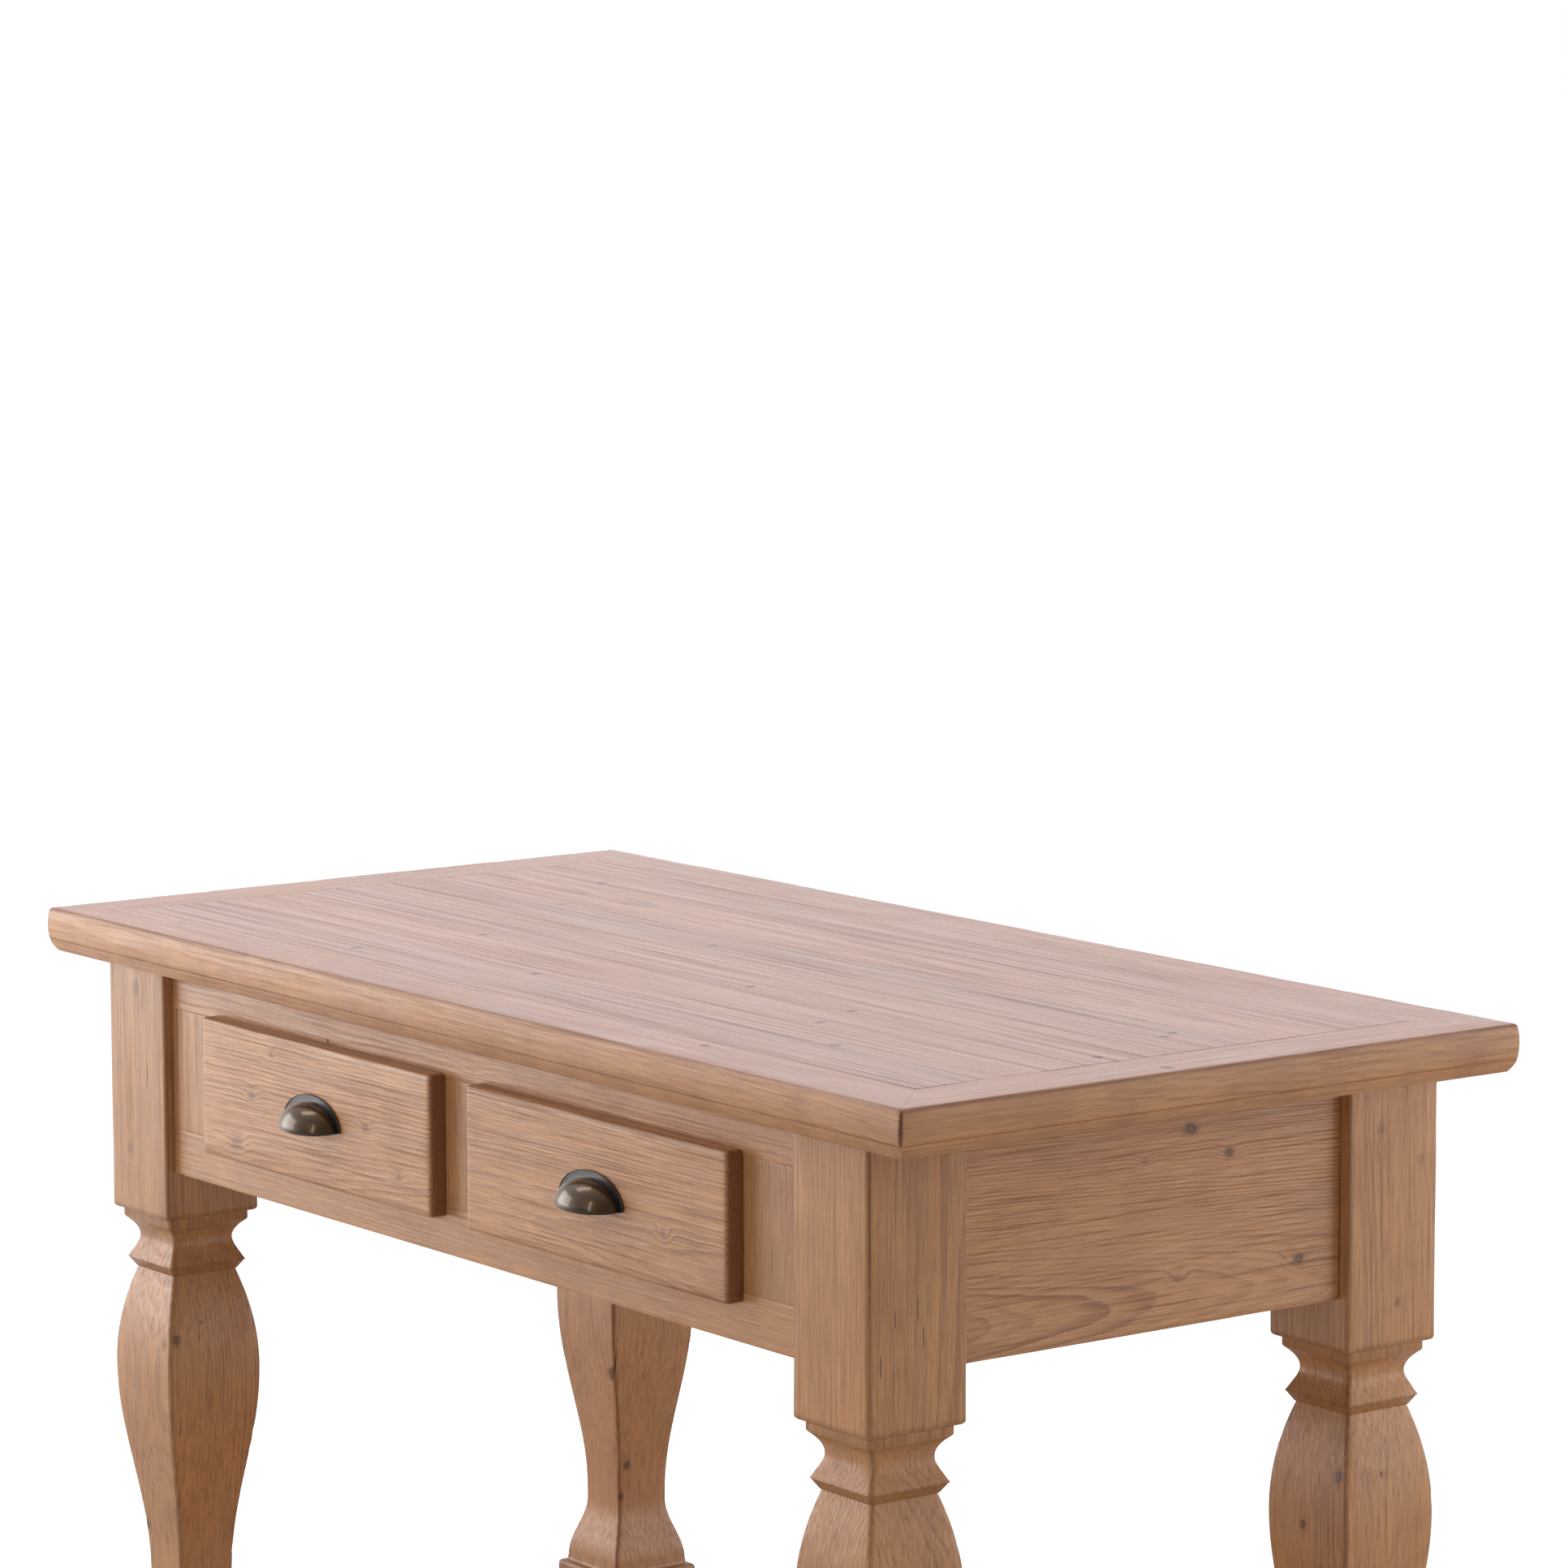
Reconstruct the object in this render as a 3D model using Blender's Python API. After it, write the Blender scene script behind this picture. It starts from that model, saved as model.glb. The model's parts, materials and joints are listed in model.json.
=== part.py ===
"""Kitchen island in reclaimed pine: mitred worktop, baluster legs, two drawers and a lower shelf.

Metres, +Z up. The drawer fronts face -Y, the long side runs along X, and the origin lies on the
floor under the middle of the worktop.
"""

import math
from dataclasses import dataclass

import bmesh
import bpy
from mathutils import Vector

# Overall size
ISLAND_LENGTH = 1.4225
ISLAND_WIDTH = 0.7025
ISLAND_HEIGHT = 0.90

# Clearances
GAP = 0.0003              # between pieces that touch
MORTISE_RELIEF = 0.001    # empty depth behind a tenon or a tongue
CUT_OVERRUN = 0.002       # how far a cutter stands out of the face it cuts

# Worktop
TOP_THICKNESS = 0.0445
BORDER_WIDTH = 0.070
PLANK_COUNT = 6
TONGUE_LENGTH = 0.010
TONGUE_THICKNESS = 0.012
OVERHANG_END = 0.07825    # worktop past the legs, at each end
OVERHANG_SIDE = 0.02585   # worktop past the legs, front and back
ARRIS_RADIUS = 0.003      # rounding of the worktop's upper edge
EDGE_BULGE = 0.00125      # how far the edge's face swells in its middle
EDGE_SLOPE_RUN = 0.0065   # slope under the edge's face, inward
EDGE_SLOPE_RISE = 0.0125  # slope under the edge's face, upward

# Legs, from the head down to the foot
LEG_WIDTH = 0.1075
LEG_EDGE_RADIUS = 0.003
BLOCK_EASE = 0.004        # rounding of a block's horizontal edge
HEAD_LENGTH = 0.2555
FILLET_HEIGHT = 0.009
FILLET_WIDTH = 0.0928
COVE_DROP = 0.0195        # fillet to the cove's narrowest place
COVE_WIDTH = 0.0694
RING_DROP = 0.0225        # cove's narrowest place to the ring's tip
RING_WIDTH = 0.0884
COLLAR_DROP = 0.010       # ring's tip to the top of the vase
COLLAR_WIDTH = 0.0733
BELLY_DROP = 0.099        # top of the vase to its widest place
BELLY_WIDTH = 0.1075
NECK_WIDTH = 0.0619
NECK_HEIGHT = 0.007
FLARE_HEIGHT = 0.066
FLARE_WIDTH = 0.0931
FOOT_FILLET_HEIGHT = 0.005
FOOT_HEIGHT = 0.145       # floor to the top of the foot block

# Foot glides
GLIDE_RADIUS = 0.014
GLIDE_HEIGHT = 0.005
GLIDE_CHAMFER = 0.0015
GLIDE_PIN_RADIUS = 0.004
GLIDE_PIN_LENGTH = 0.012

# Aprons and face frame
APRON_THICKNESS = 0.024
APRON_HEIGHT = 0.206
APRON_RECESS = 0.0104     # front and back aprons behind the legs' faces
END_RECESS = 0.012        # end aprons behind the legs' faces
TOP_RAIL_HEIGHT = 0.0385
BOTTOM_RAIL_HEIGHT = 0.0455
STILE_WIDTH = 0.0935
MULLION_WIDTH = 0.077
TENON_SHOULDER = 0.007
TENON_LENGTH = 0.032
STUB_TENON_LENGTH = 0.014

# Drawers
OVERLAY_SIDE = 0.0085     # drawer front over the face frame
OVERLAY_TOP = 0.0045
OVERLAY_BOTTOM = 0.010
DRAWER_FRONT_THICKNESS = 0.0175
DRAWER_FRONT_EASE = 0.004
DRAWER_SIDE_THICKNESS = 0.014
DRAWER_BACK_THICKNESS = 0.012
DRAWER_BOTTOM_THICKNESS = 0.006
DRAWER_BOTTOM_RISE = 0.010      # lower edge of the sides to the bottom panel
DRAWER_GROOVE_DEPTH = 0.005
DRAWER_SIDE_CLEARANCE = 0.002
DRAWER_TOP_CLEARANCE = 0.005
DRAWER_BACK_DROP = 0.010        # the back is this much lower than the sides
DRAWER_REAR_SPACE = 0.125       # drawer box to the back apron

# Runners under the drawer sides and kickers above them
RUNNER_HEIGHT = 0.025
RUNNER_REACH = 0.002      # bed past the inner face of the drawer side
GUIDE_WIDTH = 0.030
GUIDE_HEIGHT = 0.025
GUIDE_CLEARANCE = 0.0015

# Cup pulls
PULL_WIDTH = 0.1025       # flange, end to end
PULL_HEIGHT = 0.032       # flange, lower edge to the top of the arch
PULL_PROJECTION = 0.027
PULL_FLANGE_THICKNESS = 0.002
FLANGE_CORNER = 0.004     # rounding of the flange's lower corners
DOME_WIDTH = 0.087
DOME_HEIGHT = 0.026
PULL_WALL = 0.0018
PULL_DROP = 0.0115        # middle of the drawer front to the flange's lower edge
LIP_DROP = 0.0005         # the dome's lip hangs this much below the flange
LIP_DROOP = 0.003         # the lip's front hangs this much below its ends
SCREW_SPACING = 0.060
SCREW_RISE = 0.008        # lip to the screws
SCREW_RADIUS = 0.002
SCREW_HEAD_RADIUS = 0.004
SCREW_CROWN_RADIUS = 0.0028
SCREW_HEAD_HEIGHT = 0.0024
BOSS_RADIUS = 0.0038

# Lower shelf
STRETCHER_THICKNESS = 0.028
STRETCHER_HEIGHT = 0.055
STRETCHER_DROP = 0.045    # top of the foot block to the top of the stretchers
BEARER_HEIGHT = 0.040
SHELF_THICKNESS = 0.022
SHELF_PLANK_COUNT = 5
SHELF_PLANK_SPACING = 0.006
SHELF_LEG_CLEARANCE = 0.002
SHELF_EASE = 0.003

# How finely curves are cut into flats
CORNER_STEPS = 2
CURVE_STEPS = 8
LONG_CURVE_STEPS = 12
SHORT_CURVE_STEPS = 6
ROUND_STEPS = 20
DOME_STEPS = 32

# Places that several pieces share
TOP_UNDERSIDE = ISLAND_HEIGHT - TOP_THICKNESS
LEG_TOP = TOP_UNDERSIDE - GAP
LEG_X = ISLAND_LENGTH / 2 - OVERHANG_END - LEG_WIDTH / 2
LEG_Y = ISLAND_WIDTH / 2 - OVERHANG_SIDE - LEG_WIDTH / 2
LEG_INNER_X = LEG_X - LEG_WIDTH / 2
LEG_INNER_Y = LEG_Y - LEG_WIDTH / 2
LEG_OUTER_X = LEG_X + LEG_WIDTH / 2
LEG_OUTER_Y = LEG_Y + LEG_WIDTH / 2
APRON_FACE_Y = LEG_OUTER_Y - APRON_RECESS
APRON_MIDDLE_Y = APRON_FACE_Y - APRON_THICKNESS / 2
APRON_BACK_Y = APRON_FACE_Y - APRON_THICKNESS
END_MIDDLE_X = LEG_OUTER_X - END_RECESS - APRON_THICKNESS / 2
APRON_BOTTOM = TOP_UNDERSIDE - APRON_HEIGHT
OPENING_TOP = TOP_UNDERSIDE - TOP_RAIL_HEIGHT
OPENING_BOTTOM = APRON_BOTTOM + BOTTOM_RAIL_HEIGHT
OPENING_HEIGHT = OPENING_TOP - OPENING_BOTTOM
OPENING_WIDTH = LEG_INNER_X - STILE_WIDTH - MULLION_WIDTH / 2
OPENING_X = (MULLION_WIDTH + OPENING_WIDTH) / 2
STRETCHER_TOP = FOOT_HEIGHT - STRETCHER_DROP

# Finishes: base colour, roughness, metallic
FINISHES = {
    "worktop_pine": ((0.52, 0.35, 0.25), 0.62, 0.0),
    "frame_pine": ((0.45, 0.28, 0.17), 0.62, 0.0),
    "drawer_box_pine": ((0.55, 0.41, 0.27), 0.70, 0.0),
    "antique_brass": ((0.14, 0.11, 0.08), 0.32, 1.0),
    "steel": ((0.55, 0.55, 0.54), 0.35, 1.0),
    "glide_plastic": ((0.05, 0.045, 0.04), 0.55, 0.0),
}


@dataclass
class Rail:
    """A board with a tenon at each end, from shoulder to shoulder along its axis."""

    name: str
    axis: str
    length: float
    thickness: float
    height: float
    centre: Vector
    tenon: float
    ends: tuple


# Scene, finishes and objects

def clear_scene():
    """Remove every object of the open scene."""
    for thing in list(bpy.data.objects):
        bpy.data.objects.remove(thing, do_unlink=True)


def finish(name):
    """The named finish as a material, made on first use."""
    found = bpy.data.materials.get(name)
    if found:
        return found
    colour, roughness, metallic = FINISHES[name]
    made = bpy.data.materials.new(name)
    made.use_nodes = True
    shader = made.node_tree.nodes["Principled BSDF"]
    shader.inputs["Base Color"].default_value = (*colour, 1.0)
    shader.inputs["Roughness"].default_value = roughness
    shader.inputs["Metallic"].default_value = metallic
    return made


def empty(name, location):
    """A named empty that carries a group of pieces."""
    made = bpy.data.objects.new(name, None)
    made.location = location
    bpy.context.collection.objects.link(made)
    return made


def place(name, shape, coat, parent, location=(0, 0, 0), rotation=(0, 0, 0)):
    """Turn a bmesh into a named object under its parent."""
    bmesh.ops.recalc_face_normals(shape, faces=shape.faces)
    mesh = bpy.data.meshes.new(name)
    shape.to_mesh(mesh)
    shape.free()
    made = bpy.data.objects.new(name, mesh)
    made.data.materials.append(finish(coat))
    made.location = location
    made.rotation_euler = rotation
    made.parent = parent
    bpy.context.collection.objects.link(made)
    return made


def helper(name, shape, parent=None):
    """A shape that only cuts or adds to other pieces."""
    made = place(name, shape, "steel", parent)
    made.hide_render = True
    made.display_type = "WIRE"
    return made


def combine(piece, tool, operation):
    """Cut a tool from a piece, or fuse it on."""
    step = piece.modifiers.new(tool.name, "BOOLEAN")
    step.operation = operation
    step.solver = "EXACT"
    step.object = tool


def shade_round(piece, angle=40):
    """Smooth shading with the sharp edges kept."""
    piece.data.shade_smooth()
    piece.data.set_sharp_from_angle(angle=math.radians(angle))


# Basic shapes

def add_box(shape, low, high):
    """Add a box between two corners and return its faces."""
    made = bmesh.ops.create_cube(shape, size=1.0)
    middle = (Vector(low) + Vector(high)) / 2
    size = Vector(high) - Vector(low)
    bmesh.ops.scale(shape, vec=size, verts=made["verts"])
    bmesh.ops.translate(shape, vec=middle, verts=made["verts"])
    return list({face for vert in made["verts"] for face in vert.link_faces})


def box(low, high):
    """A new shape that holds one box."""
    shape = bmesh.new()
    add_box(shape, low, high)
    return shape


def prism(outline, start, end, to_point):
    """Extrude a closed outline of (a, b) pairs; to_point(a, b, run) gives the place in space."""
    shape = bmesh.new()
    rims = [[shape.verts.new(to_point(a, b, run)) for a, b in outline] for run in (start, end)]
    shape.faces.new(rims[0])
    shape.faces.new(list(reversed(rims[1])))
    count = len(outline)
    for index in range(count):
        after = (index + 1) % count
        shape.faces.new((rims[0][index], rims[0][after], rims[1][after], rims[1][index]))
    return shape


def turned(profile):
    """Spin a profile of (radius, height) pairs, which starts and ends on the axis, round Z."""
    shape = bmesh.new()
    verts = [shape.verts.new((radius, 0, height)) for radius, height in profile]
    edges = [shape.edges.new(pair) for pair in zip(verts, verts[1:])]
    bmesh.ops.spin(shape, geom=verts + edges, cent=(0, 0, 0), axis=(0, 0, 1),
                   angle=math.tau, steps=ROUND_STEPS, use_duplicate=False)
    bmesh.ops.remove_doubles(shape, verts=shape.verts, dist=GAP / 10)
    return shape


def arc(centre, radius, start, end, steps):
    """Points of a circular arc, in degrees, both ends included."""
    angles = [math.radians(start + (end - start) * step / steps) for step in range(steps + 1)]
    return [(centre[0] + radius * math.cos(a), centre[1] + radius * math.sin(a)) for a in angles]


# Worktop

def border_profile():
    """Section of a border board: (distance in from the outer edge, height), with its groove."""
    low, high = TOP_UNDERSIDE, ISLAND_HEIGHT
    tongue_low = (low + high - TONGUE_THICKNESS) / 2 - GAP
    tongue_high = (low + high + TONGUE_THICKNESS) / 2 + GAP
    groove = BORDER_WIDTH - TONGUE_LENGTH - MORTISE_RELIEF
    face_low, face_high = low + EDGE_SLOPE_RISE, high - ARRIS_RADIUS
    arris = arc((EDGE_BULGE + ARRIS_RADIUS, face_high), ARRIS_RADIUS, 90, 180, CORNER_STEPS + 1)
    face = [(EDGE_BULGE * (1 - 2 * step / CURVE_STEPS) ** 2,
             face_high + (face_low - face_high) * step / CURVE_STEPS) for step in range(1, CURVE_STEPS + 1)]
    inner = [(BORDER_WIDTH, low), (BORDER_WIDTH, tongue_low), (groove, tongue_low),
             (groove, tongue_high), (BORDER_WIDTH, tongue_high), (BORDER_WIDTH, high)]
    return arris + face + [(EDGE_BULGE + EDGE_SLOPE_RUN, low)] + inner


def mitred_board(half_run, half_reach, along_x, side):
    """A border board whose ends are cut at 45 degrees for its neighbours."""
    mitre_gap = GAP / math.sqrt(2)

    def to_point(inward, height, end):
        run = end * (half_run - inward - mitre_gap)
        reach = side * (half_reach - inward)
        return (run, reach, height) if along_x else (reach, run, height)

    return prism(border_profile(), -1, 1, to_point)


def build_worktop(parent):
    """Four mitred border boards round a field of tongued planks."""
    half_length, half_width = ISLAND_LENGTH / 2, ISLAND_WIDTH / 2
    for name, along_x, side in (("front", True, -1), ("back", True, 1),
                                ("left", False, -1), ("right", False, 1)):
        run, reach = (half_length, half_width) if along_x else (half_width, half_length)
        board = mitred_board(run, reach, along_x, side)
        shade_round(place(f"worktop_border_{name}", board, "worktop_pine", parent))
    build_field(parent)


def build_field(parent):
    """Planks along X. Each has tongues at its ends and its front edge, and a groove behind."""
    middle = (TOP_UNDERSIDE + ISLAND_HEIGHT) / 2
    half_field = ISLAND_LENGTH / 2 - BORDER_WIDTH - GAP
    half_tongue = half_field + TONGUE_LENGTH
    groove_depth = TONGUE_LENGTH + MORTISE_RELIEF
    front_edge = BORDER_WIDTH - ISLAND_WIDTH / 2
    pitch = (ISLAND_WIDTH - 2 * BORDER_WIDTH) / PLANK_COUNT
    for index in range(PLANK_COUNT):
        near = front_edge + index * pitch + GAP / 2
        far = near + pitch - GAP
        last = index == PLANK_COUNT - 1
        name = f"worktop_plank_{index + 1}"
        core = box((-half_field, near, TOP_UNDERSIDE), (half_field, far, ISLAND_HEIGHT))
        plank = place(name, core, "worktop_pine", parent)
        tongue_far = far + TONGUE_LENGTH if last else far - groove_depth - CUT_OVERRUN
        tongue = box((-half_tongue, near - TONGUE_LENGTH, middle - TONGUE_THICKNESS / 2),
                     (half_tongue, tongue_far, middle + TONGUE_THICKNESS / 2))
        combine(plank, helper(f"{name}_tongue", tongue, parent), "UNION")
        if not last:
            reach = half_tongue + CUT_OVERRUN
            groove = box((-reach, far - groove_depth, middle - TONGUE_THICKNESS / 2 - GAP),
                         (reach, far + CUT_OVERRUN, middle + TONGUE_THICKNESS / 2 + GAP))
            combine(plank, helper(f"{name}_groove", groove, parent), "DIFFERENCE")


# Legs

def hermite(start, end, start_slope, end_slope, steps):
    """Points of a smooth curve between two (height, half width) places, first point left out."""
    span = end[0] - start[0]
    points = []
    for step in range(1, steps + 1):
        t = step / steps
        value = ((2 * t**3 - 3 * t**2 + 1) * start[1] + (t**3 - 2 * t**2 + t) * span * start_slope
                 + (3 * t**2 - 2 * t**3) * end[1] + (t**3 - t**2) * span * end_slope)
        points.append((start[0] + t * span, value))
    return points


def s_curve(start, end, steps):
    """Points of a cosine wave between two (height, half width) places, first point left out."""
    points = []
    for step in range(1, steps + 1):
        t = step / steps
        share = (1 - math.cos(math.pi * t)) / 2
        points.append((start[0] + t * (end[0] - start[0]), start[1] + share * (end[1] - start[1])))
    return points


def leg_profile():
    """The leg's outline from the floor up: (height, half width)."""
    half = LEG_WIDTH / 2
    flare = (FOOT_HEIGHT + FOOT_FILLET_HEIGHT, FLARE_WIDTH / 2)
    neck_low = (flare[0] + FLARE_HEIGHT, NECK_WIDTH / 2)
    neck_high = (neck_low[0] + NECK_HEIGHT, NECK_WIDTH / 2)
    head = TOP_UNDERSIDE - HEAD_LENGTH
    fillet = (head - FILLET_HEIGHT, FILLET_WIDTH / 2)
    cove = (fillet[0] - COVE_DROP, COVE_WIDTH / 2)
    ring = (cove[0] - RING_DROP, RING_WIDTH / 2)
    collar = (ring[0] - COLLAR_DROP, COLLAR_WIDTH / 2)
    belly = (collar[0] - BELLY_DROP, BELLY_WIDTH / 2)
    ease = half - BLOCK_EASE
    outline = [(GLIDE_HEIGHT + GAP, half)]
    outline += [(z, h) for h, z in arc((ease, FOOT_HEIGHT - BLOCK_EASE), BLOCK_EASE, 0, 90, CORNER_STEPS)]
    outline += [(FOOT_HEIGHT, flare[1]), flare]
    outline += s_curve(flare, neck_low, CURVE_STEPS) + [neck_high]
    outline += s_curve(neck_high, belly, LONG_CURVE_STEPS)
    steep = 2 * (collar[1] - belly[1]) / (collar[0] - belly[0])
    outline += hermite(belly, collar, 0, steep, CURVE_STEPS)
    outline += [ring]
    lean = (ring[1] - cove[1]) / RING_DROP
    outline += hermite(ring, cove, -lean, 0, SHORT_CURVE_STEPS)
    rise = 2 * (fillet[1] - cove[1]) / COVE_DROP
    outline += hermite(cove, fillet, 0, rise, SHORT_CURVE_STEPS)
    outline += [(head, fillet[1])]
    outline += [(z, h) for h, z in arc((ease, head + BLOCK_EASE), BLOCK_EASE, -90, 0, CORNER_STEPS)]
    outline += [(LEG_TOP, half)]
    return outline


def square_ring(shape, height, half):
    """A square with rounded corners at one height of the leg."""
    flat = half - LEG_EDGE_RADIUS
    ring = []
    for quarter in range(4):
        turn = 90 * quarter
        middle = (flat * (1 if quarter in (0, 3) else -1), flat * (1 if quarter < 2 else -1))
        for x, y in arc(middle, LEG_EDGE_RADIUS, turn, turn + 90, CORNER_STEPS):
            ring.append(shape.verts.new((x, y, height)))
    return ring


def leg_shape():
    """The square baluster: rounded squares joined from the floor to the worktop."""
    shape = bmesh.new()
    rings = [square_ring(shape, height, half) for height, half in leg_profile()]
    shape.faces.new(rings[0])
    shape.faces.new(rings[-1])
    for lower, upper in zip(rings, rings[1:]):
        for index in range(len(lower)):
            shape.faces.new((lower[index - 1], lower[index], upper[index], upper[index - 1]))
    return shape


def leg_name(side_x, side_y):
    """Name of the leg at a corner of the island."""
    return f"leg_{'front' if side_y < 0 else 'back'}_{'left' if side_x < 0 else 'right'}"


def build_legs(parent, mortises):
    """Four legs with a glide under each."""
    pin = [(0, GLIDE_HEIGHT + GLIDE_PIN_LENGTH), (GLIDE_PIN_RADIUS, GLIDE_HEIGHT + GLIDE_PIN_LENGTH),
           (GLIDE_PIN_RADIUS, GLIDE_HEIGHT)]
    disc = [(GLIDE_RADIUS, GLIDE_HEIGHT), (GLIDE_RADIUS, GLIDE_CHAMFER),
            (GLIDE_RADIUS - GLIDE_CHAMFER, 0), (0, 0)]
    hole_top = GLIDE_HEIGHT + GLIDE_PIN_LENGTH + MORTISE_RELIEF
    hole_radius = GLIDE_PIN_RADIUS + GAP
    hole = [(0, hole_top), (hole_radius, hole_top), (hole_radius, GLIDE_HEIGHT - CUT_OVERRUN),
            (0, GLIDE_HEIGHT - CUT_OVERRUN)]
    for side_x in (-1, 1):
        for side_y in (-1, 1):
            name = leg_name(side_x, side_y)
            spot = (side_x * LEG_X, side_y * LEG_Y, 0)
            leg = place(name, leg_shape(), "frame_pine", parent, spot)
            shade_round(leg, 30)
            socket = helper(f"{name}_glide_hole", turned(hole), parent)
            socket.location = spot
            combine(leg, socket, "DIFFERENCE")
            cut_mortises(leg, mortises[name], parent)
            glide = place(name.replace("leg", "glide"), turned(pin + disc), "glide_plastic", parent, spot)
            shade_round(glide)


# Rails with tenons

def rail_list():
    """Every board that is tenoned at both ends, with the pieces that take its tenons."""
    rails = []
    span_x, span_y = 2 * (LEG_INNER_X - GAP), 2 * (LEG_INNER_Y - GAP)
    fl, fr, bl, br = (leg_name(x, y) for y in (-1, 1) for x in (-1, 1))

    def add(name, axis, length, thickness, height, centre, ends, tenon=TENON_LENGTH):
        rails.append(Rail(name, axis, length, thickness, height, Vector(centre), tenon, ends))

    top_rail_z = LEG_TOP - (TOP_RAIL_HEIGHT - GAP) / 2
    low_rail_z = APRON_BOTTOM + BOTTOM_RAIL_HEIGHT / 2
    apron_z = (APRON_BOTTOM + LEG_TOP) / 2
    apron_height = LEG_TOP - APRON_BOTTOM
    add("front_top_rail", "x", span_x, APRON_THICKNESS, TOP_RAIL_HEIGHT - GAP,
        (0, -APRON_MIDDLE_Y, top_rail_z), (fl, fr))
    add("front_bottom_rail", "x", span_x, APRON_THICKNESS, BOTTOM_RAIL_HEIGHT,
        (0, -APRON_MIDDLE_Y, low_rail_z), (fl, fr))
    add("back_apron", "x", span_x, APRON_THICKNESS, apron_height, (0, APRON_MIDDLE_Y, apron_z), (bl, br))
    add("end_apron_left", "y", span_y, APRON_THICKNESS, apron_height, (-END_MIDDLE_X, 0, apron_z), (fl, bl))
    add("end_apron_right", "y", span_y, APRON_THICKNESS, apron_height, (END_MIDDLE_X, 0, apron_z), (fr, br))

    stile_width = STILE_WIDTH - GAP
    stile_x = LEG_INNER_X - GAP - stile_width / 2
    for name, x, width in (("front_stile_left", -stile_x, stile_width), ("front_mullion", 0, MULLION_WIDTH),
                           ("front_stile_right", stile_x, stile_width)):
        add(name, "z", OPENING_HEIGHT - 2 * GAP, APRON_THICKNESS, width,
            (x, -APRON_MIDDLE_Y, (OPENING_TOP + OPENING_BOTTOM) / 2),
            ("front_bottom_rail", "front_top_rail"), STUB_TENON_LENGTH)

    stretcher_z = STRETCHER_TOP - STRETCHER_HEIGHT / 2
    for name, axis, x, y, ends in (("front", "x", 0, -LEG_Y, (fl, fr)), ("back", "x", 0, LEG_Y, (bl, br)),
                                   ("left", "y", -LEG_X, 0, (fl, bl)), ("right", "y", LEG_X, 0, (fr, br))):
        span = span_x if axis == "x" else span_y
        add(f"stretcher_{name}", axis, span, STRETCHER_THICKNESS, STRETCHER_HEIGHT, (x, y, stretcher_z), ends)
    bearer_length = 2 * LEG_Y - STRETCHER_THICKNESS - 2 * GAP
    add("shelf_bearer", "y", bearer_length, STRETCHER_THICKNESS, BEARER_HEIGHT,
        (0, 0, STRETCHER_TOP - BEARER_HEIGHT / 2), ("stretcher_front", "stretcher_back"), STUB_TENON_LENGTH)
    return rails


def rail_corner(rail, run, across, up):
    """A point of a rail, given along, across and up it from its centre, in the island's frame."""
    if rail.axis == "x":
        return rail.centre + Vector((run, across, up))
    if rail.axis == "y":
        return rail.centre + Vector((-across, run, up))
    return rail.centre + Vector((-up, across, run))


def mortise_boxes(rails):
    """For each piece that takes tenons, the corners of its mortises."""
    boxes = {}
    for rail in rails:
        across = rail.thickness / 2 - TENON_SHOULDER + GAP
        up = rail.height / 2 - TENON_SHOULDER + GAP
        for side, target in zip((-1, 1), rail.ends):
            mouth = side * (rail.length / 2 - CUT_OVERRUN)
            floor = side * (rail.length / 2 + rail.tenon + MORTISE_RELIEF)
            first = rail_corner(rail, mouth, -across, -up)
            second = rail_corner(rail, floor, across, up)
            low = [min(pair) for pair in zip(first, second)]
            high = [max(pair) for pair in zip(first, second)]
            boxes.setdefault(target, []).append((low, high))
    return boxes


def cut_mortises(piece, boxes, parent):
    """Cut a piece's mortises with one helper shape."""
    shape = bmesh.new()
    for low, high in boxes:
        add_box(shape, low, high)
    combine(piece, helper(f"{piece.name}_mortises", shape, parent), "DIFFERENCE")


def build_rail(rail, parent):
    """A tenoned board: its end faces are inset to the shoulders and drawn out into tenons."""
    shape = bmesh.new()
    half = Vector((rail.length, rail.thickness, rail.height)) / 2
    faces = add_box(shape, -half, half)
    shape.normal_update()
    for end in [face for face in faces if abs(face.normal.x) > 0.5]:
        outward = end.normal.copy()
        bmesh.ops.inset_individual(shape, faces=[end], thickness=TENON_SHOULDER, use_even_offset=True)
        tip = bmesh.ops.extrude_discrete_faces(shape, faces=[end])["faces"][0]
        bmesh.ops.translate(shape, vec=outward * rail.tenon, verts=tip.verts)
    turn = {"x": (0, 0, 0), "y": (0, 0, math.pi / 2), "z": (0, -math.pi / 2, 0)}[rail.axis]
    return place(rail.name, shape, "frame_pine", parent, rail.centre, turn)


# Drawers

@dataclass
class DrawerBox:
    """Sizes of a drawer box, from the opening's lower middle on the face frame's front."""

    half: float = OPENING_WIDTH / 2 - DRAWER_SIDE_CLEARANCE
    low: float = GAP
    high: float = OPENING_HEIGHT - DRAWER_TOP_CLEARANCE
    rear: float = APRON_FACE_Y + APRON_BACK_Y - DRAWER_REAR_SPACE
    seat: float = -GAP - DRAWER_GROOVE_DEPTH

    @property
    def inner(self):
        """Half the clear width inside."""
        return self.half - DRAWER_SIDE_THICKNESS

    @property
    def panel_low(self):
        """Underside of the bottom panel."""
        return self.low + DRAWER_BOTTOM_RISE

    @property
    def panel_high(self):
        """Upper face of the bottom panel."""
        return self.panel_low + DRAWER_BOTTOM_THICKNESS


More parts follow.
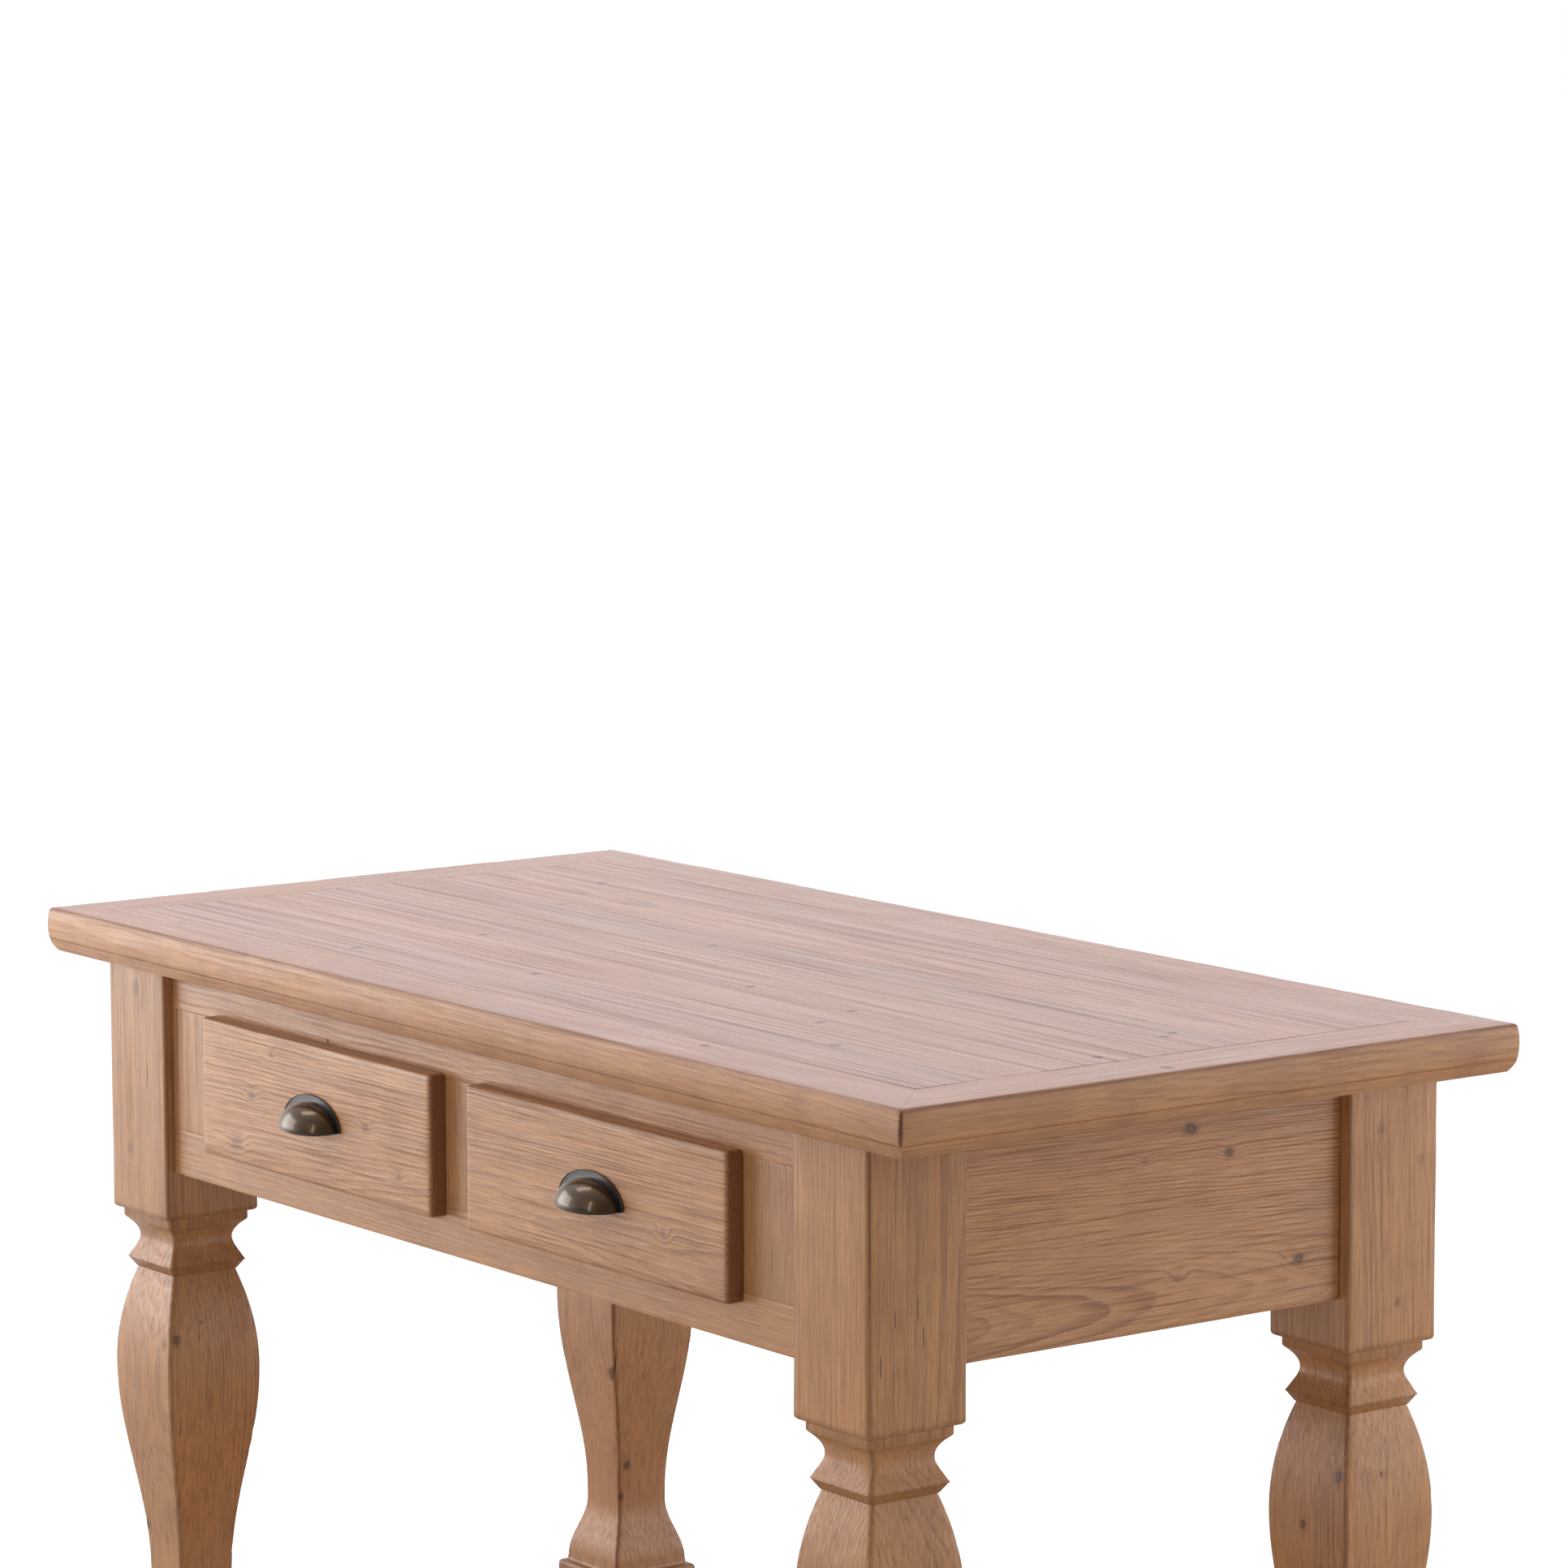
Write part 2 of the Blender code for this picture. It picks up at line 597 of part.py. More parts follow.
def drawer_front_shape():
    """The proud front with its outer edges rounded over."""
    half = OPENING_WIDTH / 2 + OVERLAY_SIDE
    shape = bmesh.new()
    faces = add_box(shape, (-half, -GAP - DRAWER_FRONT_THICKNESS, -OVERLAY_BOTTOM),
                    (half, -GAP, OPENING_HEIGHT + OVERLAY_TOP))
    shape.normal_update()
    back = next(face for face in faces if face.normal.y > 0.5)
    rounded = [edge for edge in shape.edges if edge not in back.edges[:]]
    bmesh.ops.bevel(shape, geom=rounded, offset=DRAWER_FRONT_EASE, segments=CORNER_STEPS,
                    profile=0.5, affect="EDGES")
    return shape


def front_cuts(drawer):
    """Housings for the two sides and the bottom panel, cut in the back of the drawer front."""
    shape = bmesh.new()
    for side in (-1, 1):
        edges = sorted((side * (drawer.inner - GAP), side * (drawer.half + GAP)))
        add_box(shape, (edges[0], drawer.seat - GAP, drawer.low - GAP),
                (edges[1], CUT_OVERRUN, drawer.high + GAP))
    reach = drawer.inner + CUT_OVERRUN
    slot = box((-reach, drawer.seat, drawer.panel_low - GAP), (reach, CUT_OVERRUN, drawer.panel_high + GAP))
    return shape, slot


def side_shape(drawer, side):
    """A drawer side with the groove for the bottom panel."""
    inner, outer = side * drawer.inner, side * drawer.half
    groove = side * (drawer.inner + DRAWER_GROOVE_DEPTH)
    low, high = drawer.panel_low - GAP, drawer.panel_high + GAP
    outline = [(outer, drawer.low), (inner, drawer.low), (inner, low), (groove, low),
               (groove, high), (inner, high), (inner, drawer.high), (outer, drawer.high)]
    return prism(outline, drawer.seat, drawer.rear, lambda x, z, y: (x, y, z))


def build_drawer(name, side, parent):
    """A drawer under an empty that slides along Y, closed where it stands."""
    slide = empty(f"{name}_slide", (side * OPENING_X, -APRON_FACE_Y, OPENING_BOTTOM))
    slide.parent = parent
    drawer = DrawerBox()
    front = place(f"{name}_front", drawer_front_shape(), "frame_pine", slide)
    shade_round(front)
    housings, slot = front_cuts(drawer)
    combine(front, helper(f"{name}_housings", housings, slide), "DIFFERENCE")
    combine(front, helper(f"{name}_slot", slot, slide), "DIFFERENCE")
    for hand, sign in (("left", -1), ("right", 1)):
        place(f"{name}_side_{hand}", side_shape(drawer, sign), "drawer_box_pine", slide)
    reach = drawer.inner + DRAWER_GROOVE_DEPTH - GAP
    panel = box((-reach, drawer.seat + GAP, drawer.panel_low), (reach, drawer.rear, drawer.panel_high))
    place(f"{name}_bottom", panel, "drawer_box_pine", slide)
    reach = drawer.inner - GAP
    back = box((-reach, drawer.rear - DRAWER_BACK_THICKNESS, drawer.panel_high + GAP),
               (reach, drawer.rear, drawer.high - DRAWER_BACK_DROP))
    place(f"{name}_back", back, "drawer_box_pine", slide)
    build_pull(name, front, slide)


# Cup pulls

def dome_depth(x, rise, wall=0.0):
    """How far the dome stands out of the drawer front at a place above its lip."""
    share = (x / (DOME_WIDTH / 2 - wall)) ** 2 + (rise / (DOME_HEIGHT - wall)) ** 2
    return (PULL_PROJECTION - wall) * math.sqrt(max(0.0, 1 - share))


def ellipsoid(half_width, projection, height):
    """A ball with its poles along X, stretched to the three given sizes."""
    shape = bmesh.new()
    bmesh.ops.create_uvsphere(shape, u_segments=DOME_STEPS, v_segments=DOME_STEPS // 2, radius=1.0)
    bmesh.ops.scale(shape, vec=(projection, height, half_width), verts=shape.verts)
    for vert in shape.verts:
        vert.co = (vert.co.z, vert.co.x, vert.co.y)
    return shape


def quarter_dome():
    """The dome's outside: a ball cut by the drawer front and by the drooping lip, and closed."""
    shape = ellipsoid(DOME_WIDTH / 2, PULL_PROJECTION, DOME_HEIGHT)
    back = -PULL_FLANGE_THICKNESS / 2
    lip = Vector((0, LIP_DROOP, -PULL_PROJECTION)).normalized()
    for spot, outward in (((0, back, 0), (0, 1, 0)), ((0, 0, 0), lip)):
        cut = bmesh.ops.bisect_plane(shape, geom=shape.verts[:] + shape.edges[:] + shape.faces[:],
                                     plane_co=spot, plane_no=outward, clear_outer=True, dist=GAP / 100)
        rim = [item for item in cut["geom_cut"] if isinstance(item, bmesh.types.BMEdge)]
        bmesh.ops.holes_fill(shape, edges=[edge for edge in rim if edge.is_boundary], sides=0)
    return shape


def flange_shape():
    """The flat half-oval plate round the dome's arch, with its lower corners rounded."""
    arch_rise = PULL_HEIGHT - LIP_DROP
    start = math.asin(FLANGE_CORNER / arch_rise)
    turns = [start + (math.pi - 2 * start) * step / DOME_STEPS for step in range(DOME_STEPS + 1)]
    arch = [(PULL_WIDTH / 2 * math.cos(turn), LIP_DROP + arch_rise * math.sin(turn)) for turn in turns]
    reach, level = arch[0][0] - FLANGE_CORNER, LIP_DROP + FLANGE_CORNER
    right = arc((reach, level), FLANGE_CORNER, -90, 0, CORNER_STEPS + 1)
    left = arc((-reach, level), FLANGE_CORNER, 180, 270, CORNER_STEPS + 1)
    outline = right[:-1] + arch + left[1:]
    return prism(outline, -PULL_FLANGE_THICKNESS, 0, lambda x, z, y: (x, y, z))


def rod(radius, start, end, x, rise):
    """A round bar along Y."""
    circle = [(x + radius * math.cos(math.tau * step / ROUND_STEPS),
               rise + radius * math.sin(math.tau * step / ROUND_STEPS)) for step in range(ROUND_STEPS)]
    return prism(circle, start, end, lambda a, b, run: (a, run, b))


def screw_shape(length):
    """A pan-head screw along Z, its head's seat at the origin and its tip at +length."""
    profile = [(0, length), (SCREW_RADIUS, length), (SCREW_RADIUS, 0), (SCREW_HEAD_RADIUS, 0),
               (SCREW_HEAD_RADIUS, -SCREW_HEAD_HEIGHT / 2),
               (SCREW_CROWN_RADIUS, -SCREW_HEAD_HEIGHT), (0, -SCREW_HEAD_HEIGHT)]
    return turned(profile)


def build_pull(name, front, slide):
    """A cup pull, its two screws, and the holes that these need in the drawer front."""
    face = -GAP - DRAWER_FRONT_THICKNESS
    middle = (OPENING_HEIGHT + OVERLAY_TOP - OVERLAY_BOTTOM) / 2
    spot = (0, face - GAP, middle - PULL_DROP - LIP_DROP)
    title = name.replace("drawer", "pull")
    pull = place(title, quarter_dome(), "antique_brass", slide, spot)
    flange = helper(f"{title}_flange", flange_shape(), pull)
    hollow = helper(f"{title}_hollow", ellipsoid(DOME_WIDTH / 2 - PULL_WALL, PULL_PROJECTION - PULL_WALL,
                                                 DOME_HEIGHT - PULL_WALL), pull)
    combine(pull, flange, "UNION")
    clear = dome_depth(SCREW_SPACING / 2 + SCREW_RADIUS, SCREW_RISE + SCREW_RADIUS, PULL_WALL)
    tip = clear - MORTISE_RELIEF
    holes = []
    for hand, sign in (("left", -1), ("right", 1)):
        x = sign * SCREW_SPACING / 2
        boss = rod(BOSS_RADIUS, -PULL_PROJECTION, -PULL_FLANGE_THICKNESS / 2, x, SCREW_RISE)
        combine(hollow, helper(f"{title}_boss_{hand}", boss, pull), "DIFFERENCE")
        hole = rod(SCREW_RADIUS + GAP, -tip - GAP, DRAWER_FRONT_THICKNESS + CUT_OVERRUN, x, SCREW_RISE)
        holes.append(helper(f"{title}_screw_hole_{hand}", hole, pull))
        seat = (spot[0] + x, 0, spot[2] + SCREW_RISE)
        length = DRAWER_FRONT_THICKNESS + 2 * GAP + tip
        outward = (math.pi / 2, 0, 0)
        shade_round(place(f"{title}_screw_{hand}", screw_shape(length), "steel", slide, seat, outward))
    combine(pull, hollow, "DIFFERENCE")
    for hole in holes:
        combine(pull, hole, "DIFFERENCE")
        combine(front, hole, "DIFFERENCE")
    shade_round(pull)


# Runners and kickers

def build_runners(parent):
    """Beds and guides under the drawer sides, and kickers above them, from front to back."""
    run = APRON_BACK_Y - GAP
    side_outer = OPENING_X + OPENING_WIDTH / 2 - DRAWER_SIDE_CLEARANCE
    side_inner = OPENING_X - OPENING_WIDTH / 2 + DRAWER_SIDE_CLEARANCE
    guide_outer = side_outer + GUIDE_CLEARANCE
    guide_inner = side_inner - GUIDE_CLEARANCE
    bed_outer = side_outer - DRAWER_SIDE_THICKNESS - RUNNER_REACH
    bed_inner = side_inner + DRAWER_SIDE_THICKNESS + RUNNER_REACH
    far = guide_outer + GUIDE_WIDTH
    low, bed, high = OPENING_BOTTOM - RUNNER_HEIGHT, OPENING_BOTTOM, OPENING_BOTTOM + GUIDE_HEIGHT
    top = TOP_UNDERSIDE - GAP

    def along(name, outline):
        place(name, prism(outline, -run, run, lambda x, z, y: (x, y, z)), "drawer_box_pine", parent)

    for hand, side in (("left", -1), ("right", 1)):
        bend = [(bed_outer, low), (far, low), (far, high),
                (guide_outer, high), (guide_outer, bed), (bed_outer, bed)]
        along(f"runner_{hand}", [(side * x, z) for x, z in bend])
        bar = [(bed_outer, OPENING_TOP), (far, OPENING_TOP), (far, top), (bed_outer, top)]
        along(f"kicker_{hand}", [(side * x, z) for x, z in bar])
    step = [(bed_inner, low), (bed_inner, bed), (guide_inner, bed), (guide_inner, high)]
    along("runner_centre", step + [(-x, z) for x, z in reversed(step)])
    bar = [(bed_inner, OPENING_TOP), (bed_inner, top)]
    along("kicker_centre", bar + [(-x, z) for x, z in reversed(bar)])


# Lower shelf

def build_shelf(parent):
    """Planks along X on the stretchers, notched round the legs."""
    half_length = LEG_X + STRETCHER_THICKNESS / 2
    half_width = LEG_Y + STRETCHER_THICKNESS / 2
    low = STRETCHER_TOP + GAP
    reach = LEG_WIDTH / 2 + SHELF_LEG_CLEARANCE
    notch = bmesh.new()
    for side_x in (-1, 1):
        for side_y in (-1, 1):
            x, y = side_x * LEG_X, side_y * LEG_Y
            add_box(notch, (x - reach, y - reach, low - CUT_OVERRUN),
                    (x + reach, y + reach, low + SHELF_THICKNESS + CUT_OVERRUN))
    notches = helper("shelf_notches", notch, parent)
    pitch = (2 * half_width + SHELF_PLANK_SPACING) / SHELF_PLANK_COUNT
    for index in range(SHELF_PLANK_COUNT):
        near = -half_width + index * pitch
        far = near + pitch - SHELF_PLANK_SPACING
        shape = box((-half_length, near, low), (half_length, far, low + SHELF_THICKNESS))
        upper = [edge for edge in shape.edges if all(vert.co.z > low + SHELF_EASE for vert in edge.verts)]
        bmesh.ops.bevel(shape, geom=upper, offset=SHELF_EASE, segments=CORNER_STEPS, profile=0.5,
                        affect="EDGES")
        plank = place(f"shelf_plank_{index + 1}", shape, "frame_pine", parent)
        shade_round(plank)
        if min(near, -far) < -LEG_INNER_Y + SHELF_LEG_CLEARANCE:
            combine(plank, notches, "DIFFERENCE")


def main():
    """Build the island."""
    clear_scene()
    island = empty("island", (0, 0, 0))
    rails = rail_list()
    mortises = mortise_boxes(rails)
    build_worktop(island)
    build_legs(island, mortises)
    for rail in rails:
        board = build_rail(rail, island)
        if rail.name in mortises:
            cut_mortises(board, mortises[rail.name], island)
    build_runners(island)
    build_shelf(island)
    for name, side in (("drawer_left", -1), ("drawer_right", 1)):
        build_drawer(name, side, island)


main()
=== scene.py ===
"""Looks of a kitchen island in reclaimed, brushed and limed pine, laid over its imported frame.

Every board, leg and border of the frame is dressed with a mesh of its own: rounded and worn arrises, a
slightly uneven face, and pine whose year rings run through the solid. Metres, in the frame's coordinates.
"""

import json
import logging
import math
import random
from dataclasses import dataclass
from enum import Enum, IntEnum
from typing import Any, Optional, Sequence

import bpy
import numpy as np
from mathutils import Matrix, Vector, noise

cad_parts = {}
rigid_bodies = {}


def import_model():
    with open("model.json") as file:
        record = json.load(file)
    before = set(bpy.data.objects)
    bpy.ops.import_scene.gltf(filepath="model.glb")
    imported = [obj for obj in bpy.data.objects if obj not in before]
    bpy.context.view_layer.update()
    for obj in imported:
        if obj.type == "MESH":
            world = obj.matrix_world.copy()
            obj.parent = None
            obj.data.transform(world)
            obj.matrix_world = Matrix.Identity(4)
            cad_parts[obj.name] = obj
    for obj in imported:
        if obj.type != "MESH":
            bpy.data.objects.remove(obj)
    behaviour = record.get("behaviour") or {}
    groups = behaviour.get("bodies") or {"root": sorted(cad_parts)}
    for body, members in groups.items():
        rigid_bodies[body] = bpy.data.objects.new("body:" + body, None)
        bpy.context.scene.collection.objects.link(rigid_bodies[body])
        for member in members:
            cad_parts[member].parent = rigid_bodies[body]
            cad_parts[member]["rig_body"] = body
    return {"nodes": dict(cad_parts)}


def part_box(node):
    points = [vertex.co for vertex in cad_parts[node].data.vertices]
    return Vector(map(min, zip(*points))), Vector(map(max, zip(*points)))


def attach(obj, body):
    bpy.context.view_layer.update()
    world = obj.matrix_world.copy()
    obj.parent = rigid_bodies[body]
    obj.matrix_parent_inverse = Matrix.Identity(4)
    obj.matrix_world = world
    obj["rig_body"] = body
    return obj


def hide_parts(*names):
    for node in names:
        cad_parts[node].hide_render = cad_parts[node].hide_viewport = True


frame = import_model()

LOG = logging.getLogger("island")
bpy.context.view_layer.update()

Pair = tuple[float, float]
Triple = tuple[float, float, float]
Socket = bpy.types.NodeSocket
Faces = list[tuple[int, ...]]

GAP = 0.0003          # between pieces that touch
ARC_STEPS = 4         # flats in a quarter of a rounded arris
FACE_STEP = 0.011     # spacing of points across a face
RUN_STEP = 0.009      # spacing of points along the grain
BAND = 0.0032         # width of the worn band beside an arris
WIDEST_MARGIN = 0.3   # most of a flat that one worn band takes
FACE_DIP = 0.00015    # deepest dip in a brushed face
TIGHTER = 0.00012     # how far glued planks close the gap on each side
SHARP_ANGLE = 50.0    # degrees between two faces from which their edge shows as sharp
SEED_STRIDE = (3.7, 5.3, 7.9)  # how far apart in the noise two seeds lie


class Grain(Enum):
    """Which way the wood runs in a piece."""

    X = (0, 1, 2)
    Y = (1, 0, 2)
    Z = (2, 0, 1)

    def pick(self, triple: Sequence[Any]) -> tuple[Any, Any, Any]:
        """Reorder X, Y, Z to along, across, through."""
        along, across, through = self.value
        return triple[along], triple[across], triple[through]

    def restore(self, along: Any, across: Any, through: Any) -> list[Any]:
        """Reorder along, across, through to X, Y, Z.

        Args:
            along: value along the grain.
            across: value across it.
            through: value through the piece.

        Returns:
            The values in the order X, Y, Z.
        """
        triple: list[Any] = [None, None, None]
        for axis, value in zip(self.value, (along, across, through)):
            triple[axis] = value
        return triple


class Arris(Enum):
    """How far an edge is rounded and how much it is worn, in metres."""

    TIGHT = (0.0001, 0.00003)
    JOINED = (0.0004, 0.0001)
    CRISP = (0.0010, 0.0004)
    WORN = (0.0020, 0.0009)

    @property
    def radius(self) -> float:
        """Rounding of the edge."""
        return self.value[0]

    @property
    def loss(self) -> float:
        """Deepest wear along the edge."""
        return self.value[1]


@dataclass(frozen=True)
class Knot:
    """A knot in the wood, at a place in the frame."""

    place: Triple
    radius: float = 0.004
    dark: float = 0.50


@dataclass(frozen=True)
class Nick:
    """A dark nick, worm track or drying check along the grain."""

    place: Triple
    length: float = 0.010
    width: float = 0.0018
    depth: float = 0.004


@dataclass(frozen=True)
class Timber:
    """How one piece was sawn from its tree.

    pith is where the tree's middle lies beside the piece's middle (across, through), and lean is how far
    it strays for each metre of length.
    """

    grain: Grain
    seed: float
    pith: Pair = (0.12, -0.06)
    lean: Pair = (0.01, 0.02)
    ring: float = 0.0034
    tone: float = 1.0
    figure: float = 1.0
    ripple: float = 0.004
    knots: tuple[Knot, ...] = ()
    nicks: tuple[Nick, ...] = ()


class NodeBench:
    """Lays out the nodes of one material and links them as they are made."""

    def __init__(self, name: str, world: Optional[bpy.types.World] = None) -> None:
        """Start a material with a Principled shader, or go on with a world.

        Args:
            name: the material's name.
            world: the world whose nodes are laid out instead.
        """
        self.material = None if world else bpy.data.materials.new(name)
        if self.material:
            self.material.use_nodes = True
        self.tree = (world or self.material).node_tree
        self.shader = self.tree.nodes.get("Principled BSDF")

    def node(self, kind: str, **settings: Any) -> bpy.types.Node:
        """Add a node.

        Args:
            kind: the node's type.
            settings: properties to set on it.

        Returns:
            The node.
        """
        made = self.tree.nodes.new(kind)
        for key, value in settings.items():
            setattr(made, key, value)
        return made

    def feed(self, socket: Socket, value: Any) -> None:
        """Link a socket to another one, or set its value.

        Args:
            socket: the socket that takes it.
            value: another socket, a number or a colour.
        """
        if isinstance(value, bpy.types.NodeSocket):
            self.tree.links.new(value, socket)
        else:
            socket.default_value = value

    def math(self, operation: str, *values: Any) -> Socket:
        """Add a Math node.

        Args:
            operation: what is done.
            values: sockets or numbers.

        Returns:
            The node's result.
        """
        made = self.node("ShaderNodeMath", operation=operation)
        for socket, value in zip(made.inputs, values):
            self.feed(socket, value)
        return made.outputs[0]

    def times(self, first: Any, *others: Any) -> Socket:
        """Multiply sockets and numbers.

        Args:
            first: socket that comes first.
            others: sockets or numbers to multiply it by.

        Returns:
            The product.
        """
        product = first
        for value in others:
            product = self.math("MULTIPLY", product, value)
        return product

    def vector(self, operation: str, *values: Any) -> Socket:
        """Add a Vector Math node.

        Args:
            operation: what is done.
            values: sockets or triples.

        Returns:
            The node's result.
        """
        made = self.node("ShaderNodeVectorMath", operation=operation)
        for socket, value in zip(made.inputs, values):
            self.feed(socket, value)
        scalar = operation in ("LENGTH", "DOT_PRODUCT")
        return made.outputs["Value" if scalar else "Vector"]

    def split(self, vector: Socket) -> tuple[Socket, Socket, Socket]:
        """Split a vector.

        Args:
            vector: the vector's socket.

        Returns:
            Its three parts.
        """
        made = self.node("ShaderNodeSeparateXYZ")
        self.feed(made.inputs[0], vector)
        return tuple(made.outputs)

    def join(self, *parts: Any) -> Socket:
        """Join three parts into a vector.

        Args:
            parts: three sockets or numbers.

        Returns:
            The vector.
        """
        made = self.node("ShaderNodeCombineXYZ")
        for socket, value in zip(made.inputs, parts):
            self.feed(socket, value)
        return made.outputs[0]

    def fade(self, value: Any, start: float, end: float, low: float = 0.0, high: float = 1.0) -> Socket:
        """A smooth step.

        Args:
            value: what is stepped.
            start: where the step starts.
            end: where it ends.
            low: the result before the step.
            high: the result after it.

        Returns:
            The stepped value.
        """
        made = self.node("ShaderNodeMapRange", interpolation_type="SMOOTHSTEP")
        for key, number in (("Value", value), ("From Min", start), ("From Max", end),
                            ("To Min", low), ("To Max", high)):
            self.feed(made.inputs[key], number)
        return made.outputs["Result"]

    def noise(self, place: Socket, stretch: Triple, seed: float, detail: float = 2.0) -> bpy.types.Node:
        """A noise texture.

        Args:
            place: where it is read.
            stretch: how many grains it has to the metre, each way.
            seed: which stretch of the noise is used.
            detail: how many finer layers it has.

        Returns:
            The texture's node.
        """
        mapping = self.node("ShaderNodeMapping")
        self.feed(mapping.inputs["Vector"], place)
        mapping.inputs["Location"].default_value = tuple(seed * stride for stride in SEED_STRIDE)
        mapping.inputs["Scale"].default_value = stretch
        made = self.node("ShaderNodeTexNoise")
        self.feed(made.inputs["Vector"], mapping.outputs[0])
        made.inputs["Scale"].default_value = 1.0
        made.inputs["Detail"].default_value = detail
        return made

    def mix(self, share: Any, first: Any, second: Any, blend: str = "MIX") -> Socket:
        """Mix two colours.

        Args:
            share: how much of the second shows.
            first: colour below.
            second: colour above.
            blend: how they mix.

        Returns:
            The mixed colour.
        """
        made = self.node("ShaderNodeMix", data_type="RGBA", blend_type=blend)
        self.feed(made.inputs[0], share)
        for socket, colour in ((made.inputs[6], first), (made.inputs[7], second)):
            self.feed(socket, (*colour, 1.0) if isinstance(colour, tuple) else colour)
        return made.outputs[2]

    def bump(self, height: Socket, depth: float, strength: float = 1.0) -> None:
        """Give the shader a relief.

        Args:
            height: the relief, from 0 to 1.
            depth: how deep the relief is.
            strength: how strongly it shows.
        """
        made = self.node("ShaderNodeBump")
        made.inputs["Strength"].default_value = strength
        made.inputs["Distance"].default_value = depth
        self.feed(made.inputs["Height"], height)
        self.feed(self.shader.inputs["Normal"], made.outputs[0])


@dataclass(frozen=True)
class PineFinish:
    """Brushed pine: pale early wood, dark late wood, stain in the pores, lime in the brushed hollows."""

    slot: str
    early: Triple
    late: Triple
    stain: Triple
    lime: Triple
    knot: Triple = (0.075, 0.026, 0.013)
    dirt: Triple = (0.070, 0.055, 0.050)
    arris: Triple = (0.20, 0.085, 0.036)
    end: Triple = (0.20, 0.078, 0.031)
    ringed: float = 0.62
    limed: float = 0.31
    stained: float = 0.46
    lined: float = 0.40
    coarse: float = 1.0
    run: float = 1.0
    even: float = 0.40
    blotched: float = 0.18
    rubbed: float = 0.20
    relief: float = 0.00045
    shine: Pair = (0.30, 0.46)
    top_shine: Optional[Pair] = None
    # tint multiplied into upward faces: painted sheen and painted light from above
    top_sheen_tint: Triple = (1.0, 1.0, 1.0)
    gloss: float = 0.50
    pore_gloss: float = 0.35

    def material(self, name: str, timber: Timber, middle: Triple) -> bpy.types.Material:
        """The finish on one piece.

        Args:
            name: the piece's name.
            timber: how the piece was sawn.
            middle: the piece's middle, in the frame.

        Returns:
            The material.
        """
        return PinePainter(self, name, timber, middle).paint()


class Streak(Enum):
    """Noise drawn out along the grain: cells to the metre along and across, place in the seeds, detail."""

    BAND = (1.3, 75.0, 5.9, 2.0)
    LINE = (7.0, 350.0, 6.7, 3.5)
    LONG = (2.0, 170.0, 7.1, 4.0)
    FIBRE = (34.0, 480.0, 8.3, 3.5)
    PATCH = (2.4, 15.0, 11.3, 2.0)


class Cloud(Enum):
    """Noise that is alike all ways: cells to the metre, place in the seeds, detail."""

    MOTTLE = (130.0, 13.1, 3.0)
    BLOTCH = (17.0, 14.9, 3.0)


class Drift(Enum):
    """Noise that bends and spaces the rings: cells to the metre each way, place in the seeds, detail."""

    WANDER = ((1.2, 7.0, 7.0), 0.0, 1.0)
    RIPPLE = ((9.0, 35.0, 35.0), 1.7, 2.0)
    PACE = ((38.0, 1.0, 1.0), 3.1, 2.0)
    VIGOUR = ((0.55, 1.0, 1.0), 4.3, 1.0)


class Turn(Enum):
    """Where a smooth step over a field of the wood starts and ends."""

    COOL_BAND = (0.36, 0.64)
    WARM_PATCH = (0.58, 0.34)
    FIGURED_PATCH = (0.36, 0.60)
    LATE_RISE = (0.40, 0.86)
    LATE_FALL = (1.0, 0.92)
    PALE_FALL = (0.34, 0.08)
    STRONG_YEAR = (0.34, 0.58)
    KNOT_BULGE = (4.5, 0.4)
    BROKEN_RING = (0.34, 0.52)
    HOLLOW = (0.45, 0.30)
    PORE = (0.54, 0.68)
    LONG_PORE = (0.55, 0.67)
    FIBRE = (0.44, 0.66)
    BLOTCH = (0.35, 0.68)
    END_GRAIN = (0.45, 0.95)
    HEART = (1.55, 1.10)
    HEART_CORE = (0.5, 1.3)
    RIM_OUTSIDE = (2.6, 1.4)
    RIM_INSIDE = (0.9, 1.4)
    PIT = (2.1, 1.3)
    WORN = (0.25, 0.95)
    WORN_LINE = (0.30, 0.62)
    SHINE = (0.3, 0.7)
    UPWARD = (0.6, 0.95)
    WHOLE = (0.0, 1.0)


